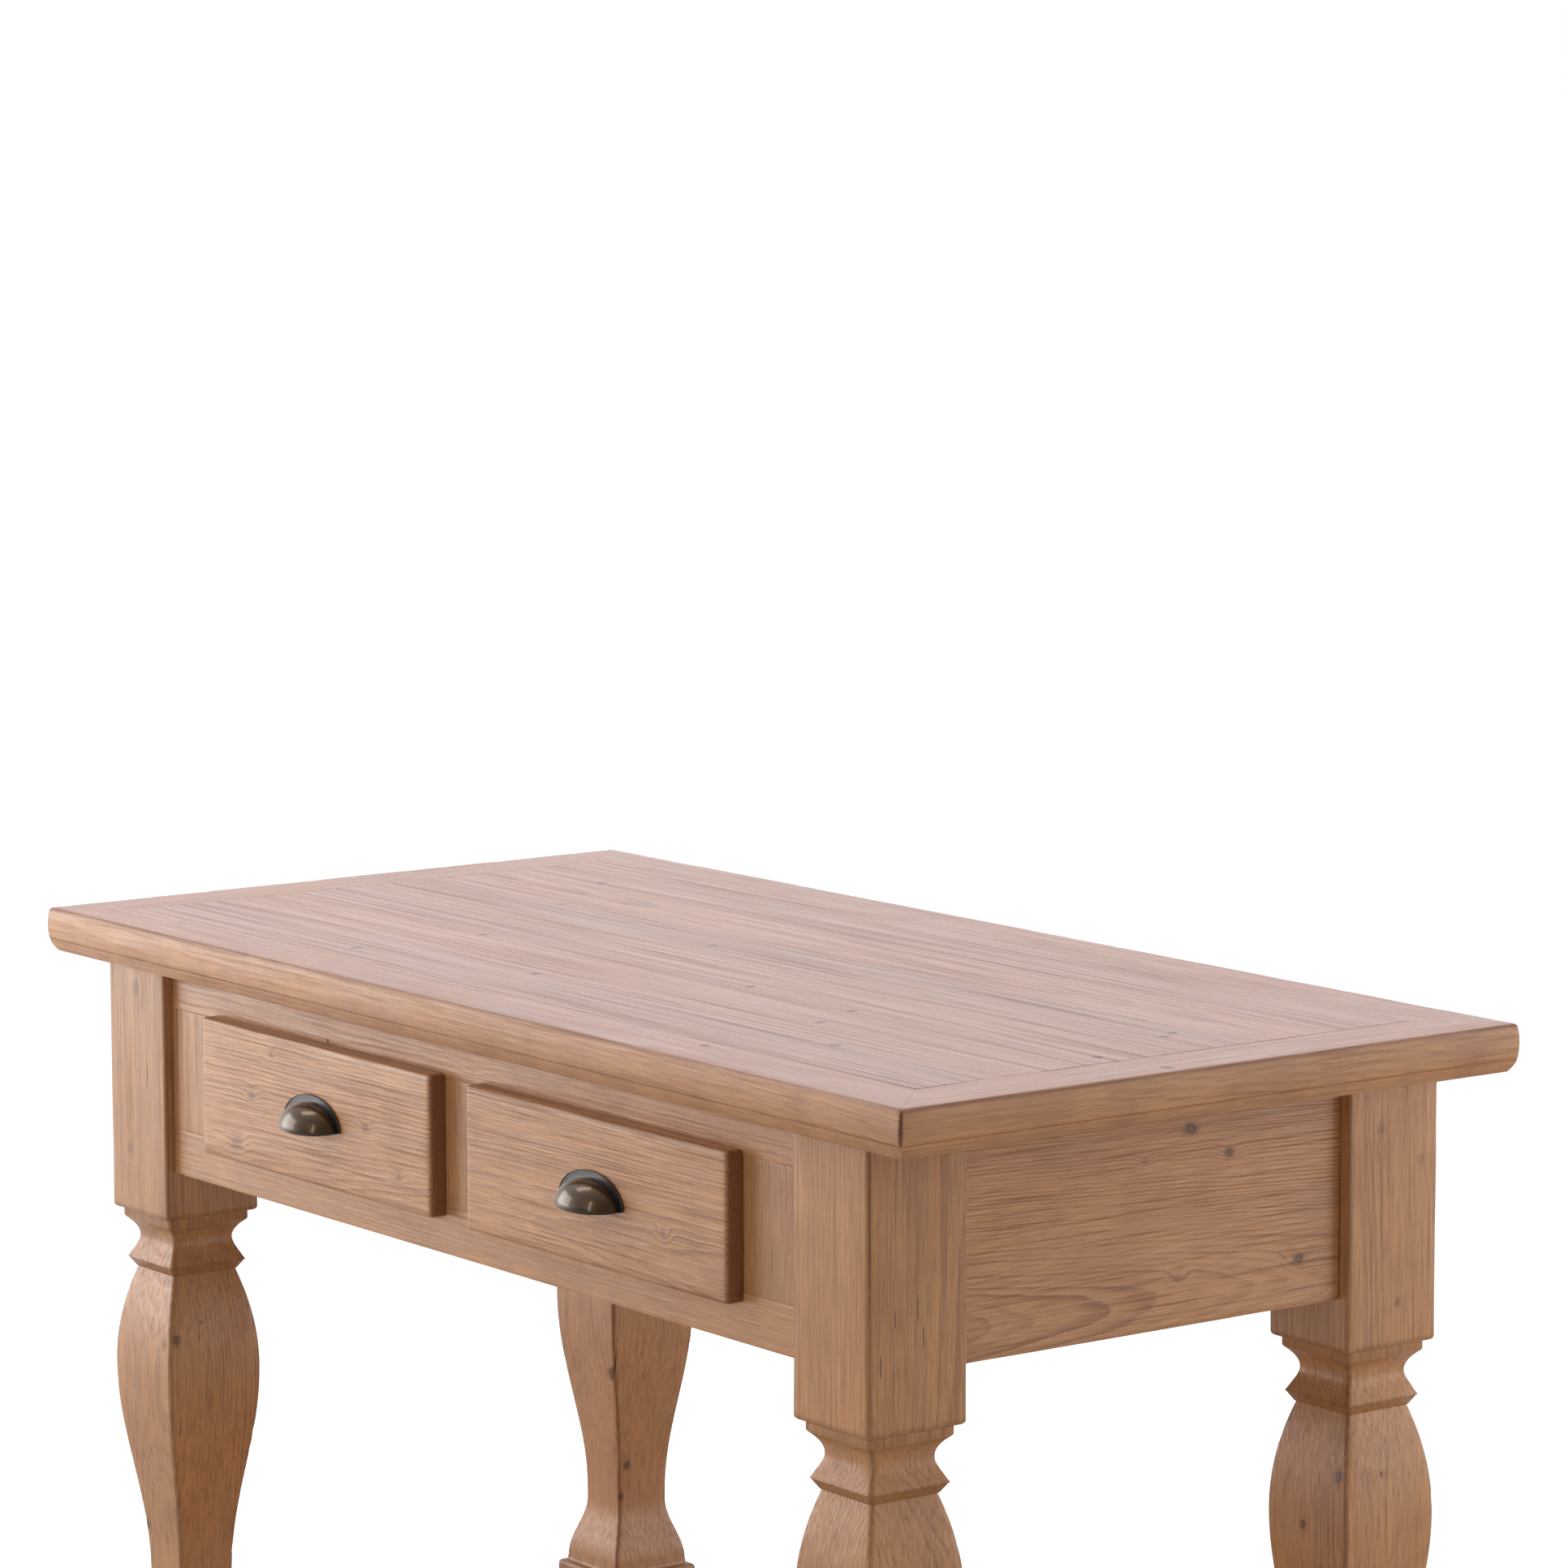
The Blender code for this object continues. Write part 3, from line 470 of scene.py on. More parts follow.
class PinePainter:
    """Paints the pine of one piece, layer over layer.

    A share says how far a layer covers those below it, a relief how high it stands, and ragged how far the
    mottle frays an outline. sway, swell and uneven are how far the rings stray, swell and change their pace.
    """

    cool: Triple = (0.92, 0.93, 0.95)
    bright: Triple = (1.04, 1.02, 0.96)
    warm: Triple = (1.01, 0.97, 0.86)
    core: Triple = (1.8, 1.8, 1.8)
    sway: float = 0.024
    swell: float = 0.0032
    uneven: float = 3.4
    weak_year: float = 0.30
    warm_share: float = 0.55
    broken_share: float = 0.45
    fibre_share: float = 0.28
    end_share: float = 0.80
    rim_share: float = 0.5
    pit_share: float = 0.70
    pit_gloss: float = 0.35
    worn_share: float = 0.35
    ring_relief: float = 0.22
    line_relief: float = 0.7
    fibre_relief: float = 0.4
    knot_length: float = 1.35
    knot_ragged: float = 0.9
    nick_ragged: float = 1.4

    def __init__(self, finish: PineFinish, name: str, timber: Timber, middle: Triple) -> None:
        """Lay out the fields that the layers share.

        Args:
            finish: colours and shares of the layers.
            name: the piece's name.
            timber: how the piece was sawn.
            middle: the piece's middle, in the frame.
        """
        self.finish = finish
        self.timber = timber
        self.middle = middle
        self.bench = NodeBench(f"{finish.slot}.{name}")
        self.source = self.bench.node("ShaderNodeTexCoord").outputs
        self.centred = self.bench.vector("SUBTRACT", self.source["Object"], middle)
        self.grain = self.bench.join(*timber.grain.pick(self.bench.split(self.centred)))
        self.line = self.streak(Streak.LINE)
        self.mottle = self.cloud(Cloud.MOTTLE)
        self.knots = [(mark.place, (mark.radius * self.knot_length, mark.radius, mark.radius))
                      for mark in timber.knots]
        self.colour: Any = finish.early
        self.relief: Any = 0.0
        self.gloss: Any = finish.gloss

    def streak(self, kind: Streak) -> Socket:
        """Noise that is drawn out along the grain.

        Args:
            kind: which streaks these are.

        Returns:
            The noise, from 0 to 1.
        """
        run, across, order, detail = kind.value
        fine = across / self.finish.coarse
        stretch = (run * self.finish.run, fine, fine)
        return self.bench.noise(self.grain, stretch, self.timber.seed + order, detail).outputs["Fac"]

    def cloud(self, kind: Cloud) -> Socket:
        """Noise that is alike all ways."""
        scale, order, detail = kind.value
        return self.bench.noise(self.centred, (scale,) * 3, self.timber.seed + order, detail).outputs["Fac"]

    def drift(self, kind: Drift, place: Socket) -> bpy.types.Node:
        """Noise that bends or spaces the year rings, read at a place."""
        stretch, order, detail = kind.value
        return self.bench.noise(place, stretch, self.timber.seed + order, detail)

    def fade(self, value: Any, turn: Turn, low: float = 0.0, high: float = 1.0) -> Socket:
        """A smooth step over a field, from low to high."""
        return self.bench.fade(value, *turn.value, low, high)

    def toned(self, colour: Triple, shares: Triple = (1.0, 1.0, 1.0)) -> Triple:
        """A colour of the finish in this piece's tone, each part scaled by its share."""
        return tuple(part * self.timber.tone * share for part, share in zip(colour, shares))

    def lay(self, share: Any, colour: Any) -> None:
        """Lay a colour over the layers below, as far as its share goes."""
        self.colour = self.bench.mix(share, self.colour, colour)

    def nearest(self, marks: Sequence[tuple[Triple, Triple]]) -> Optional[Socket]:
        """Distance to the nearest of some marks, counted in their own sizes.

        Args:
            marks: each mark's place, and its half sizes along, across and through.

        Returns:
            The distance, or None without marks.
        """
        bench = self.bench
        found: Optional[Socket] = None
        for place, size in marks:
            spot = self.timber.grain.pick([a - b for a, b in zip(place, self.middle)])
            away = bench.vector("SUBTRACT", self.grain, spot)
            away = bench.vector("MULTIPLY", away, tuple(1 / part for part in size))
            away = bench.vector("LENGTH", away)
            found = away if found is None else bench.math("MINIMUM", found, away)
        return found

    def from_pith(self) -> Socket:
        """Distance from the tree's middle, which wanders, ripples and leans along the piece.

        Returns:
            The distance, for each place in the piece.
        """
        bench, timber, grain = self.bench, self.timber, self.grain
        along = bench.split(grain)[0]
        wander = self.drift(Drift.WANDER, grain).outputs["Color"]
        ripple = self.drift(Drift.RIPPLE, grain).outputs["Color"]
        sway = bench.vector("MULTIPLY_ADD", wander, (0.0, self.sway, self.sway),
                            (0.0, -self.sway / 2, -self.sway / 2))
        sway = bench.vector("MULTIPLY_ADD", ripple, (0.0, timber.ripple, timber.ripple), sway)
        drift = bench.vector("MULTIPLY", bench.join(along, along, along), (0.0, *timber.lean))
        away = bench.vector("SUBTRACT", grain, (0.0, *timber.pith))
        away = bench.vector("MULTIPLY", away, (0.0, 1.0, 1.0))
        away = bench.vector("ADD", bench.vector("ADD", away, sway), drift)
        return bench.vector("LENGTH", away)

    def rings(self) -> tuple[Socket, Socket]:
        """Year rings of uneven spacing, stronger in some years than in others, that swell round a knot.

        Returns:
            How much late wood shows, and how much of the pale line that follows it, from 0 to 1.
        """
        bench = self.bench
        radius = self.from_pith()
        near_knot = self.nearest(self.knots)
        if near_knot is not None:
            radius = bench.math("ADD", radius, self.fade(near_knot, Turn.KNOT_BULGE, 0.0, self.swell))
        pace = self.drift(Drift.PACE, bench.join(radius, 0.0, 0.0)).outputs["Fac"]
        years = bench.math("MULTIPLY_ADD", radius, 1 / self.timber.ring, bench.times(pace, self.uneven))
        share = bench.math("FRACT", years)
        late = bench.times(self.fade(share, Turn.LATE_RISE), self.fade(share, Turn.LATE_FALL))
        pale = self.fade(share, Turn.PALE_FALL)
        vigour = self.drift(Drift.VIGOUR, bench.join(years, 0.0, 0.0)).outputs["Fac"]
        strong = self.fade(vigour, Turn.STRONG_YEAR, self.weak_year, 1.0)
        return bench.times(late, strong), bench.times(pale, strong)

    def wood(self) -> None:
        """Early wood in bands and patches, with the year rings in it."""
        bench, finish, figure = self.bench, self.finish, self.timber.figure
        patch = self.streak(Streak.PATCH)
        strong = self.fade(patch, Turn.FIGURED_PATCH, finish.even * figure, figure)
        self.colour = self.toned(finish.early, self.bright)
        self.lay(self.fade(self.streak(Streak.BAND), Turn.COOL_BAND), self.toned(finish.early, self.cool))
        warm = self.fade(patch, Turn.WARM_PATCH, 0.0, self.warm_share)
        self.lay(warm, self.toned(finish.early, self.warm))
        late, pale = self.rings()
        broken = self.fade(self.line, Turn.BROKEN_RING, self.broken_share, 1.0)
        self.lay(bench.times(late, strong, finish.ringed, broken), self.toned(finish.late))
        self.lay(bench.times(pale, strong, finish.limed), self.toned(finish.lime))
        self.relief = bench.math("MULTIPLY_ADD", late, self.ring_relief * figure,
                                 bench.times(self.line, self.line_relief * figure))

    def pores(self) -> None:
        """Lime in the brushed hollows, stain in pores and fibres, blotches over all."""
        bench, finish, figure = self.bench, self.finish, self.timber.figure
        hollow = self.fade(self.line, Turn.HOLLOW)
        self.lay(bench.times(hollow, figure, finish.limed), self.toned(finish.lime))
        pore = bench.times(self.fade(self.line, Turn.PORE), figure)
        drawn = bench.times(self.fade(self.streak(Streak.LONG), Turn.LONG_PORE), finish.lined * figure)
        pore = bench.math("MAXIMUM", pore, drawn)
        self.lay(bench.times(pore, finish.stained), self.toned(finish.stain))
        fibre = self.streak(Streak.FIBRE)
        self.lay(self.fade(fibre, Turn.FIBRE, 0.0, self.fibre_share), self.toned(finish.late))
        blotch = self.cloud(Cloud.BLOTCH)
        self.lay(self.fade(blotch, Turn.BLOTCH, 0.0, finish.blotched), self.toned(finish.late))
        self.relief = bench.math("MULTIPLY_ADD", fibre, self.fibre_relief, self.relief)
        self.gloss = self.fade(pore, Turn.WHOLE, finish.gloss, finish.pore_gloss)

    def end_grain(self) -> None:
        """Darker wood where the grain is cut across."""
        facing = self.timber.grain.pick(self.bench.split(self.source["Normal"]))[0]
        cut = self.fade(self.bench.math("ABSOLUTE", facing), Turn.END_GRAIN, 0.0, self.end_share)
        self.lay(cut, self.toned(self.finish.end))

    def knotted(self) -> None:
        """Knots with a ragged heart and a soft rim."""
        bench, finish = self.bench, self.finish
        for dark in sorted({mark.dark for mark in self.timber.knots}):
            alike = [size for mark, size in zip(self.timber.knots, self.knots) if mark.dark == dark]
            ragged = bench.math("MULTIPLY_ADD", self.mottle, self.knot_ragged, self.nearest(alike))
            rim = bench.times(self.fade(ragged, Turn.RIM_OUTSIDE), self.fade(ragged, Turn.RIM_INSIDE))
            middle = self.toned(finish.knot, self.core)
            core = bench.mix(self.fade(ragged, Turn.HEART_CORE), middle, finish.knot)
            self.lay(bench.times(rim, self.rim_share * dark), finish.arris)
            self.lay(bench.times(self.fade(ragged, Turn.HEART), dark), core)

    def nicked(self) -> None:
        """Dark, dull pits at the nicks and checks."""
        bench = self.bench
        near = self.nearest([(mark.place, (mark.length / 2, mark.width / 2, mark.depth / 2))
                             for mark in self.timber.nicks])
        if near is None:
            return
        pit = self.fade(bench.math("MULTIPLY_ADD", self.mottle, self.nick_ragged, near), Turn.PIT)
        self.lay(bench.times(pit, self.pit_share), self.finish.dirt)
        self.relief = bench.math("SUBTRACT", self.relief, pit)
        self.gloss = bench.times(self.gloss, self.fade(pit, Turn.WHOLE, 1.0, self.pit_gloss))

    def rubbed(self) -> None:
        """Dark wood along the worn arrises; in the border's quirk and on the legs' arrises it is partly
        painted shade.
        """
        bench = self.bench
        wear = bench.node("ShaderNodeAttribute", attribute_name="wear").outputs["Fac"]
        streaked = self.fade(self.line, Turn.WORN_LINE, self.worn_share, 1.0)
        rub = bench.times(self.fade(wear, Turn.WORN), streaked)
        self.lay(bench.times(rub, self.finish.rubbed), self.toned(self.finish.arris))

    def polished(self) -> Socket:
        """Set how dull the piece is: evenly all over, or shinier on its upper face, which is also tinted as
        painted sheen.

        Returns:
            The roughness.
        """
        bench, finish = self.bench, self.finish
        dull = self.fade(self.line, Turn.SHINE, *finish.shine)
        if not finish.top_shine:
            return dull
        upward = self.fade(bench.split(self.source["Normal"])[2], Turn.UPWARD)
        # painted sheen: the colour of upward faces is multiplied by the sheen tint
        self.lay(upward, bench.mix(1.0, self.colour, finish.top_sheen_tint, "MULTIPLY"))
        shiny = self.fade(self.line, Turn.SHINE, *finish.top_shine)
        return bench.math("MULTIPLY_ADD", bench.math("SUBTRACT", shiny, dull), upward, dull)

    def paint(self) -> bpy.types.Material:
        """Paint all the layers.

        Returns:
            The material.
        """
        for layer in (self.wood, self.pores, self.end_grain, self.knotted, self.nicked, self.rubbed):
            layer()
        dull = self.polished()
        inputs = self.bench.shader.inputs
        self.bench.feed(inputs["Base Color"], self.colour)
        self.bench.feed(inputs["Roughness"], dull)
        self.bench.feed(inputs["Specular IOR Level"], self.gloss)
        self.bench.bump(self.relief, self.finish.relief)
        return self.bench.material


@dataclass(frozen=True)
class BrassFinish:
    """Darkened brass: bronze in the hollows, worn where hands rub the dome, pewter grey on the flange.

    cloud and speck are two noises: cells to the metre, seed and detail. Reaches are counted in the flange's
    thickness.
    """

    slot: str = "antique_brass"
    bronze: Triple = (0.055, 0.031, 0.011)
    worn: Triple = (0.046, 0.032, 0.019)
    pewter: Triple = (0.068, 0.061, 0.062)
    grime: Triple = (0.03, 0.024, 0.018)
    grimy: float = 0.7
    grime_reach: Triple = (2.6, 1.2, 0.6)
    dome_root: Pair = (1.05, 1.6)
    cloud: Triple = (70.0, 2.0, 3.0)
    speck: Triple = (900.0, 4.0, 2.0)
    speckled: Triple = (0.25, 0.7, 0.55)
    crown: Pair = (0.018, 0.036)
    ragged: float = 0.016
    roughness: Pair = (0.22, 0.38)
    gritty: Pair = (0.2, 0.8)
    clouded: float = 2.0
    coat: Pair = (0.4, 0.08)
    relief: float = 0.00008

    def material(self, name: str, face: float, plate: float, middle: Triple) -> bpy.types.Material:
        """The finish on one pull.

        Args:
            name: the piece's name.
            face: where the drawer front's face lies, along Y.
            plate: thickness of the pull's flange.
            middle: the pull's middle, in the frame.

        Returns:
            The material.
        """
        bench = NodeBench(f"{self.slot}.{name}")
        source = bench.node("ShaderNodeTexCoord")
        place = bench.vector("SUBTRACT", source.outputs["Object"], middle)
        cloud, speck = (bench.noise(place, (scale,) * 3, seed, detail).outputs["Fac"]
                        for scale, seed, detail in (self.cloud, self.speck))
        out = bench.math("SUBTRACT", face, bench.split(source.outputs["Object"])[1])
        dome = bench.fade(out, *(plate * share for share in self.dome_root))
        crown = bench.fade(bench.math("MULTIPLY_ADD", cloud, self.ragged, out), *self.crown)
        rub = bench.times(crown, bench.fade(speck, *self.speckled, 1.0))
        colour = bench.mix(dome, self.pewter, bench.mix(rub, self.bronze, self.worn))
        far, near, low = (plate * share for share in self.grime_reach)
        root = bench.times(bench.fade(out, far, near), bench.fade(out, low, plate))
        colour = bench.mix(bench.times(root, self.grimy), colour, self.grime)
        inputs = bench.shader.inputs
        bench.feed(inputs["Base Color"], colour)
        bench.feed(inputs["Roughness"], bench.fade(speck, *self.gritty, *self.roughness))
        inputs["Metallic"].default_value = 1.0
        inputs["Coat Weight"].default_value, inputs["Coat Roughness"].default_value = self.coat
        bench.bump(bench.math("ADD", speck, bench.times(cloud, self.clouded)), self.relief)
        return bench.material


@dataclass(frozen=True)
class PlainFinish:
    """A turned or moulded surface with fine tool marks, such as a screw's or a glide's."""

    slot: str
    colour: Triple
    dull: Triple
    roughness: Pair
    metallic: float
    grit: float
    turn: Pair = (0.3, 0.7)
    relief: float = 0.00006

    def material(self, name: str) -> bpy.types.Material:
        """The finish on one piece.

        Args:
            name: the piece's name.

        Returns:
            The material.
        """
        bench = NodeBench(f"{self.slot}.{name}")
        place = bench.node("ShaderNodeTexCoord").outputs["Object"]
        grit = bench.noise(place, (self.grit,) * 3, 1.0, 3.0).outputs["Fac"]
        colour = bench.mix(bench.fade(grit, *self.turn), self.colour, self.dull)
        bench.feed(bench.shader.inputs["Base Color"], colour)
        bench.feed(bench.shader.inputs["Roughness"], bench.fade(grit, *self.turn, *self.roughness))
        bench.shader.inputs["Metallic"].default_value = self.metallic
        bench.bump(grit, self.relief)
        return bench.material


@dataclass
class Section:
    """A closed outline across the grain: points, their outward directions and how near an arris they are."""

    points: np.ndarray
    outward: np.ndarray
    edge: np.ndarray


def flat_shares(length: float, count: int) -> list[float]:
    """Places of the points along one flat: one beside each end, the rest spread between.

    Args:
        length: the flat's length.
        count: how many points it has.

    Returns:
        Shares of the length.
    """
    margin = min(BAND / length, WIDEST_MARGIN)
    return [margin + (1 - 2 * margin) * step / (count - 1) for step in range(count)]


def flat_count(length: float) -> int:
    """How many points a flat of some length gets."""
    return max(2, round(length / FACE_STEP))


def rounded_rectangle(low: Pair, high: Pair, radii: Sequence[float], counts: Pair) -> Section:
    """A rectangle with rounded corners.

    Args:
        low: lowest across and through.
        high: highest across and through.
        radii: rounding at low-low, high-low, high-high and low-high.
        counts: points on the two kinds of flats, across and through.

    Returns:
        The outline, counter-clockwise.
    """
    points, outward, edge = [], [], []
    corners = ((low[0], low[1]), (high[0], low[1]), (high[0], high[1]), (low[0], high[1]))
    centres = []
    for (a, b), radius in zip(corners, radii):
        centres.append((a + (radius if a == low[0] else -radius), b + (radius if b == low[1] else -radius)))
    for index, ((a, b), radius) in enumerate(zip(centres, radii)):
        for step in range(ARC_STEPS + 1):
            angle = math.radians(180 + 90 * index + 90 * step / ARC_STEPS)
            outward.append((math.cos(angle), math.sin(angle)))
            points.append((a + radius * outward[-1][0], b + radius * outward[-1][1]))
            edge.append(1.0)
        after = (index + 1) % 4
        direction = outward[-1]
        start = np.array(points[-1])
        end = np.array(centres[after]) + radii[after] * np.array(direction)
        length = float(np.linalg.norm(end - start))
        for place in flat_shares(length, counts[index % 2]):
            points.append(tuple(start + (end - start) * place))
            outward.append(direction)
            edge.append(0.0)
    return Section(np.array(points), np.array(outward), np.array(edge))


def skin(count: int, rows: int, first: int = 0, inside_out: bool = False) -> Faces:
    """Faces over rows of points that each close on themselves, and over the first and the last row.

    Args:
        count: points in a row.
        rows: how many rows there are.
        first: number of the first point.
        inside_out: whether the rows turn the other way round.

    Returns:
        The faces.
    """
    faces: Faces = []
    last = first + (rows - 1) * count
    for start in range(first, last, count):
        for index in range(count):
            after = (index + 1) % count
            corners = (start + index, start + after, start + count + after, start + count + index)
            faces.append(corners[:1] + corners[:0:-1] if inside_out else corners)
    for cap in (tuple(reversed(range(first, first + count))), tuple(range(last, last + count))):
        faces.append(cap[::-1] if inside_out else cap)
    return faces


def mesh_object(name: str, points: Sequence[Any], faces: Faces) -> bpy.types.Object:
    """Make a mesh object, smooth but for its sharp edges, and link it to the scene.

    Args:
        name: the object's name.
        points: its points.
        faces: its faces.

    Returns:
        The object.
    """
    mesh = bpy.data.meshes.new(name)
    mesh.from_pydata(points, [], faces)
    mesh.shade_smooth()
    mesh.set_sharp_from_angle(angle=math.radians(SHARP_ANGLE))
    made = bpy.data.objects.new(name, mesh)
    bpy.context.scene.collection.objects.link(made)
    return made


class Stock:
    """Rings of points along the grain, closed into one solid and worn by hand."""

    dips: Triple = (9.0, 40.0, 0.7)
    rubs: Triple = (13.0, 1.9, 0.70)
    chips: Triple = (70.0, 2.3, 1.8)
    chip_seed: float = 4.0
    least: Pair = (0.10, 0.35)

    def __init__(self, grain: Grain, seed: float, arris: Arris) -> None:
        """Start an empty stock.

        Args:
            grain: which way the rings follow each other.
            seed: which stretch of wear is used.
            arris: how the arrises are worn.
        """
        self.grain = grain
        self.seed = seed
        self.arris = arris
        self.rings: list[np.ndarray] = []
        self.wear: list[np.ndarray] = []

    def hollow(self, along: float, across: float, through: float) -> float:
        """How far a face dips at a place, from brushing and from cupping.

        Args:
            along: the place along the grain.
            across: across it.
            through: through the piece.

        Returns:
            The dip, from 0 to 1.
        """
        run, side, stride = self.dips
        spot = Vector((along * run + self.seed, across * side, through * side + self.seed * stride))
        return 0.5 + 0.5 * noise.noise(spot)

    def loss(self, along: float, index: int) -> float:
        """How much of an arris is gone at a place: long rubbed stretches and short chips.

        Args:
            along: the place along the grain.
            index: which arris it is.

        Returns:
            The loss, from 0 to 1.
        """
        run, stride, rubbed = self.rubs
        rub = noise.noise(Vector((along * run + self.seed, index * stride, self.seed)))
        run, stride, chipped = self.chips
        chip = noise.noise(Vector((along * run + self.seed, index * stride, self.seed + self.chip_seed)))
        least, rare = self.least
        return min(1.0, least + rubbed * max(0.0, rub) + chipped * max(0.0, chip - rare))

    def add(self, along: Any, section: Section, crossing: Any = 0.0) -> None:
        """Add a ring.

        Args:
            along: where it lies, one number or one for each point.
            section: its outline.
            crossing: how near an arris that crosses the grain is, from 0 to 1, in the same way.
        """
        count = len(section.points)
        places = np.broadcast_to(np.asarray(along, float), (count,))
        edge = np.maximum(section.edge, crossing)
        shift = np.empty(count)
        for index, (a, b) in enumerate(section.points):
            dip = FACE_DIP * self.hollow(places[index], a, b)
            gone = self.arris.loss * edge[index] * self.loss(places[index], index // (ARC_STEPS + 1))
            shift[index] = dip + gone
        worn = section.points - section.outward * shift[:, None]
        triple = self.grain.restore(places, worn[:, 0], worn[:, 1])
        self.rings.append(np.stack(triple, axis=1))
        self.wear.append(edge * min(1.0, self.arris.loss / Arris.CRISP.loss))

    def piece(self, name: str) -> bpy.types.Object:
        """Close the rings into a mesh object.

        Args:
            name: the object's name.

        Returns:
            The object, with its closeness to an arris as the attribute wear.
        """
        faces = skin(len(self.rings[0]), len(self.rings))
        if self.grain is Grain.Y:
            faces = [tuple(reversed(face)) for face in faces]
        made = mesh_object(name, np.concatenate(self.rings).tolist(), faces)
        wear = made.data.attributes.new("wear", "FLOAT", "POINT")
        wear.data.foreach_set("value", np.concatenate(self.wear))
        return made


def stations(low: float, high: float, rounding: float) -> list[Pair]:
    """Where a board's rings lie.

    Args:
        low: start of the board.
        high: end of the board.
        rounding: rounding of its two ends.

    Returns:
        Each ring's place and how far its outline is drawn in there.
    """
    ends = []
    for step in range(ARC_STEPS + 1):
        angle = math.radians(90 * step / ARC_STEPS)
        ends.append((rounding * (1 - math.sin(angle)), rounding * (1 - math.cos(angle))))
    ends.reverse()
    steps = max(2, round((high - low) / RUN_STEP))
    near = rounding + BAND
    inner = [low + near + (high - low - 2 * near) * step / steps for step in range(steps + 1)]
    first = [(low + away, inset) for away, inset in ends]
    last = [(high - away, inset) for away, inset in reversed(ends)]
    return first + [(place, 0.0) for place in inner] + last


def present(piece: bpy.types.Object, node: str, slot: str, material: bpy.types.Material) -> None:
    """Lay a dressed piece over its node of the frame.

    Args:
        piece: the dressed piece.
        node: the node that it stands for.
        slot: the record's slot for its finish; not used.
        material: its finish.
    """
    piece.data.materials.clear()
    piece.data.materials.append(material)
    body = frame["nodes"][node]["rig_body"]
    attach(piece, body)
    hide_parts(node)
    LOG.info("%s dressed on %s", node, body)


def refinish(node: str, finish: PlainFinish | PineFinish, *given: Any) -> None:
    """Give a node of the frame a finish of its own.

    Args:
        node: the node.
        finish: its finish.
        given: what else that finish needs.
    """
    mesh = frame["nodes"][node].data
    mesh.materials.clear()
    mesh.materials.append(finish.material(node, *given))
    LOG.info("%s finished", node)


def middle_of(node: str) -> Triple:
    """The middle of a node's box."""
    return tuple((a + b) / 2 for a, b in zip(*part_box(node)))


@dataclass
class Joinery:
    """A piece of pine that stands for one node of the frame."""

    node: str
    finish: PineFinish
    timber: Timber

    def build(self) -> bpy.types.Object:
        """Make the piece's mesh.

        Returns:
            The dressed piece.
        """
        raise NotImplementedError

    def dress(self) -> None:
        """Build the piece and lay it over its node."""
        material = self.finish.material(self.node, self.timber, middle_of(self.node))
        present(self.build(), self.node, self.finish.slot, material)


@dataclass
class Board(Joinery):
    """A straight board with rounded, worn arrises.

    hidden_low and hidden_high are what its tenons and tongues take off its box at each end of X, Y and Z.
    eased names the rounding of its four long arrises where that isn't the arris's own.
    """

    arris: Arris = Arris.CRISP
    hidden_low: Triple = (0.0, 0.0, 0.0)
    hidden_high: Triple = (0.0, 0.0, 0.0)
    eased: Optional[Sequence[float]] = None
    end_rounding: Optional[float] = None
    kept_sides: tuple[str, ...] = ()
    notch: Optional[tuple[float, Pair]] = None

    def extent(self) -> tuple[Triple, Triple]:
        """Find the visible board.

        Returns:
            Its lowest and highest corners, along, across and through.
        """
        low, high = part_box(self.node)
        low = [a + b for a, b in zip(low, self.hidden_low)]
        high = [a - b for a, b in zip(high, self.hidden_high)]
        return self.timber.grain.pick(low), self.timber.grain.pick(high)

    def build(self) -> bpy.types.Object:
        """Make the board's mesh.

        Returns:
            The dressed board.
        """
        low, high = self.extent()
        radii = self.eased or (self.arris.radius,) * 4
        rounding = self.arris.radius if self.end_rounding is None else self.end_rounding
        counts = (flat_count(high[1] - low[1]), flat_count(high[2] - low[2]))
        stock = Stock(self.timber.grain, self.timber.seed, self.arris)
        drawn = {side: float(side not in self.kept_sides) for side in ("low1", "high1", "low2", "high2")}
        for place, inset in self.cut(stations(low[0], high[0], rounding)):
            sides = self.bounds_at(place, low, high)
            corner_low = (sides[0][0] + inset * drawn["low1"], sides[0][1] + inset * drawn["low2"])
            corner_high = (sides[1][0] - inset * drawn["high1"], sides[1][1] - inset * drawn["high2"])
            section = rounded_rectangle(corner_low, corner_high, radii, counts)
            near_end = min(place - low[0], high[0] - place)
            stock.add(place, section, max(0.0, 1 - near_end / (rounding + BAND)))
        return stock.piece(f"{self.node}_dressed")

    def cut(self, places: list[Pair]) -> list[Pair]:
        """Add rings on both sides of a notch's shoulders, where the board has one.

        Args:
            places: each ring's place and how far it is drawn in.

        Returns:
            The same, with the added rings.
        """
        if self.notch is None:
            return places
        reach = self.notch[0]
        extra = [(side * (reach + step), 0.0) for side in (-1, 1) for step in (-GAP / 2, GAP / 2)]
        kept = [pair for pair in places if abs(abs(pair[0]) - reach) > BAND / 2]
        return sorted(kept + extra)

    def bounds_at(self, place: float, low: Triple, high: Triple) -> tuple[Pair, Pair]:
        """Find the section at a place, inside the notch or out of it.

        Args:
            place: the place along the grain.
            low: the board's lowest corner.
            high: the board's highest corner.

        Returns:
            The section's lowest and highest corners.
        """
        if self.notch is not None and abs(place) > self.notch[0]:
            near, far = self.notch[1]
            return (max(low[1], near), low[2]), (min(high[1], far), high[2])
        return (low[1], low[2]), (high[1], high[2])


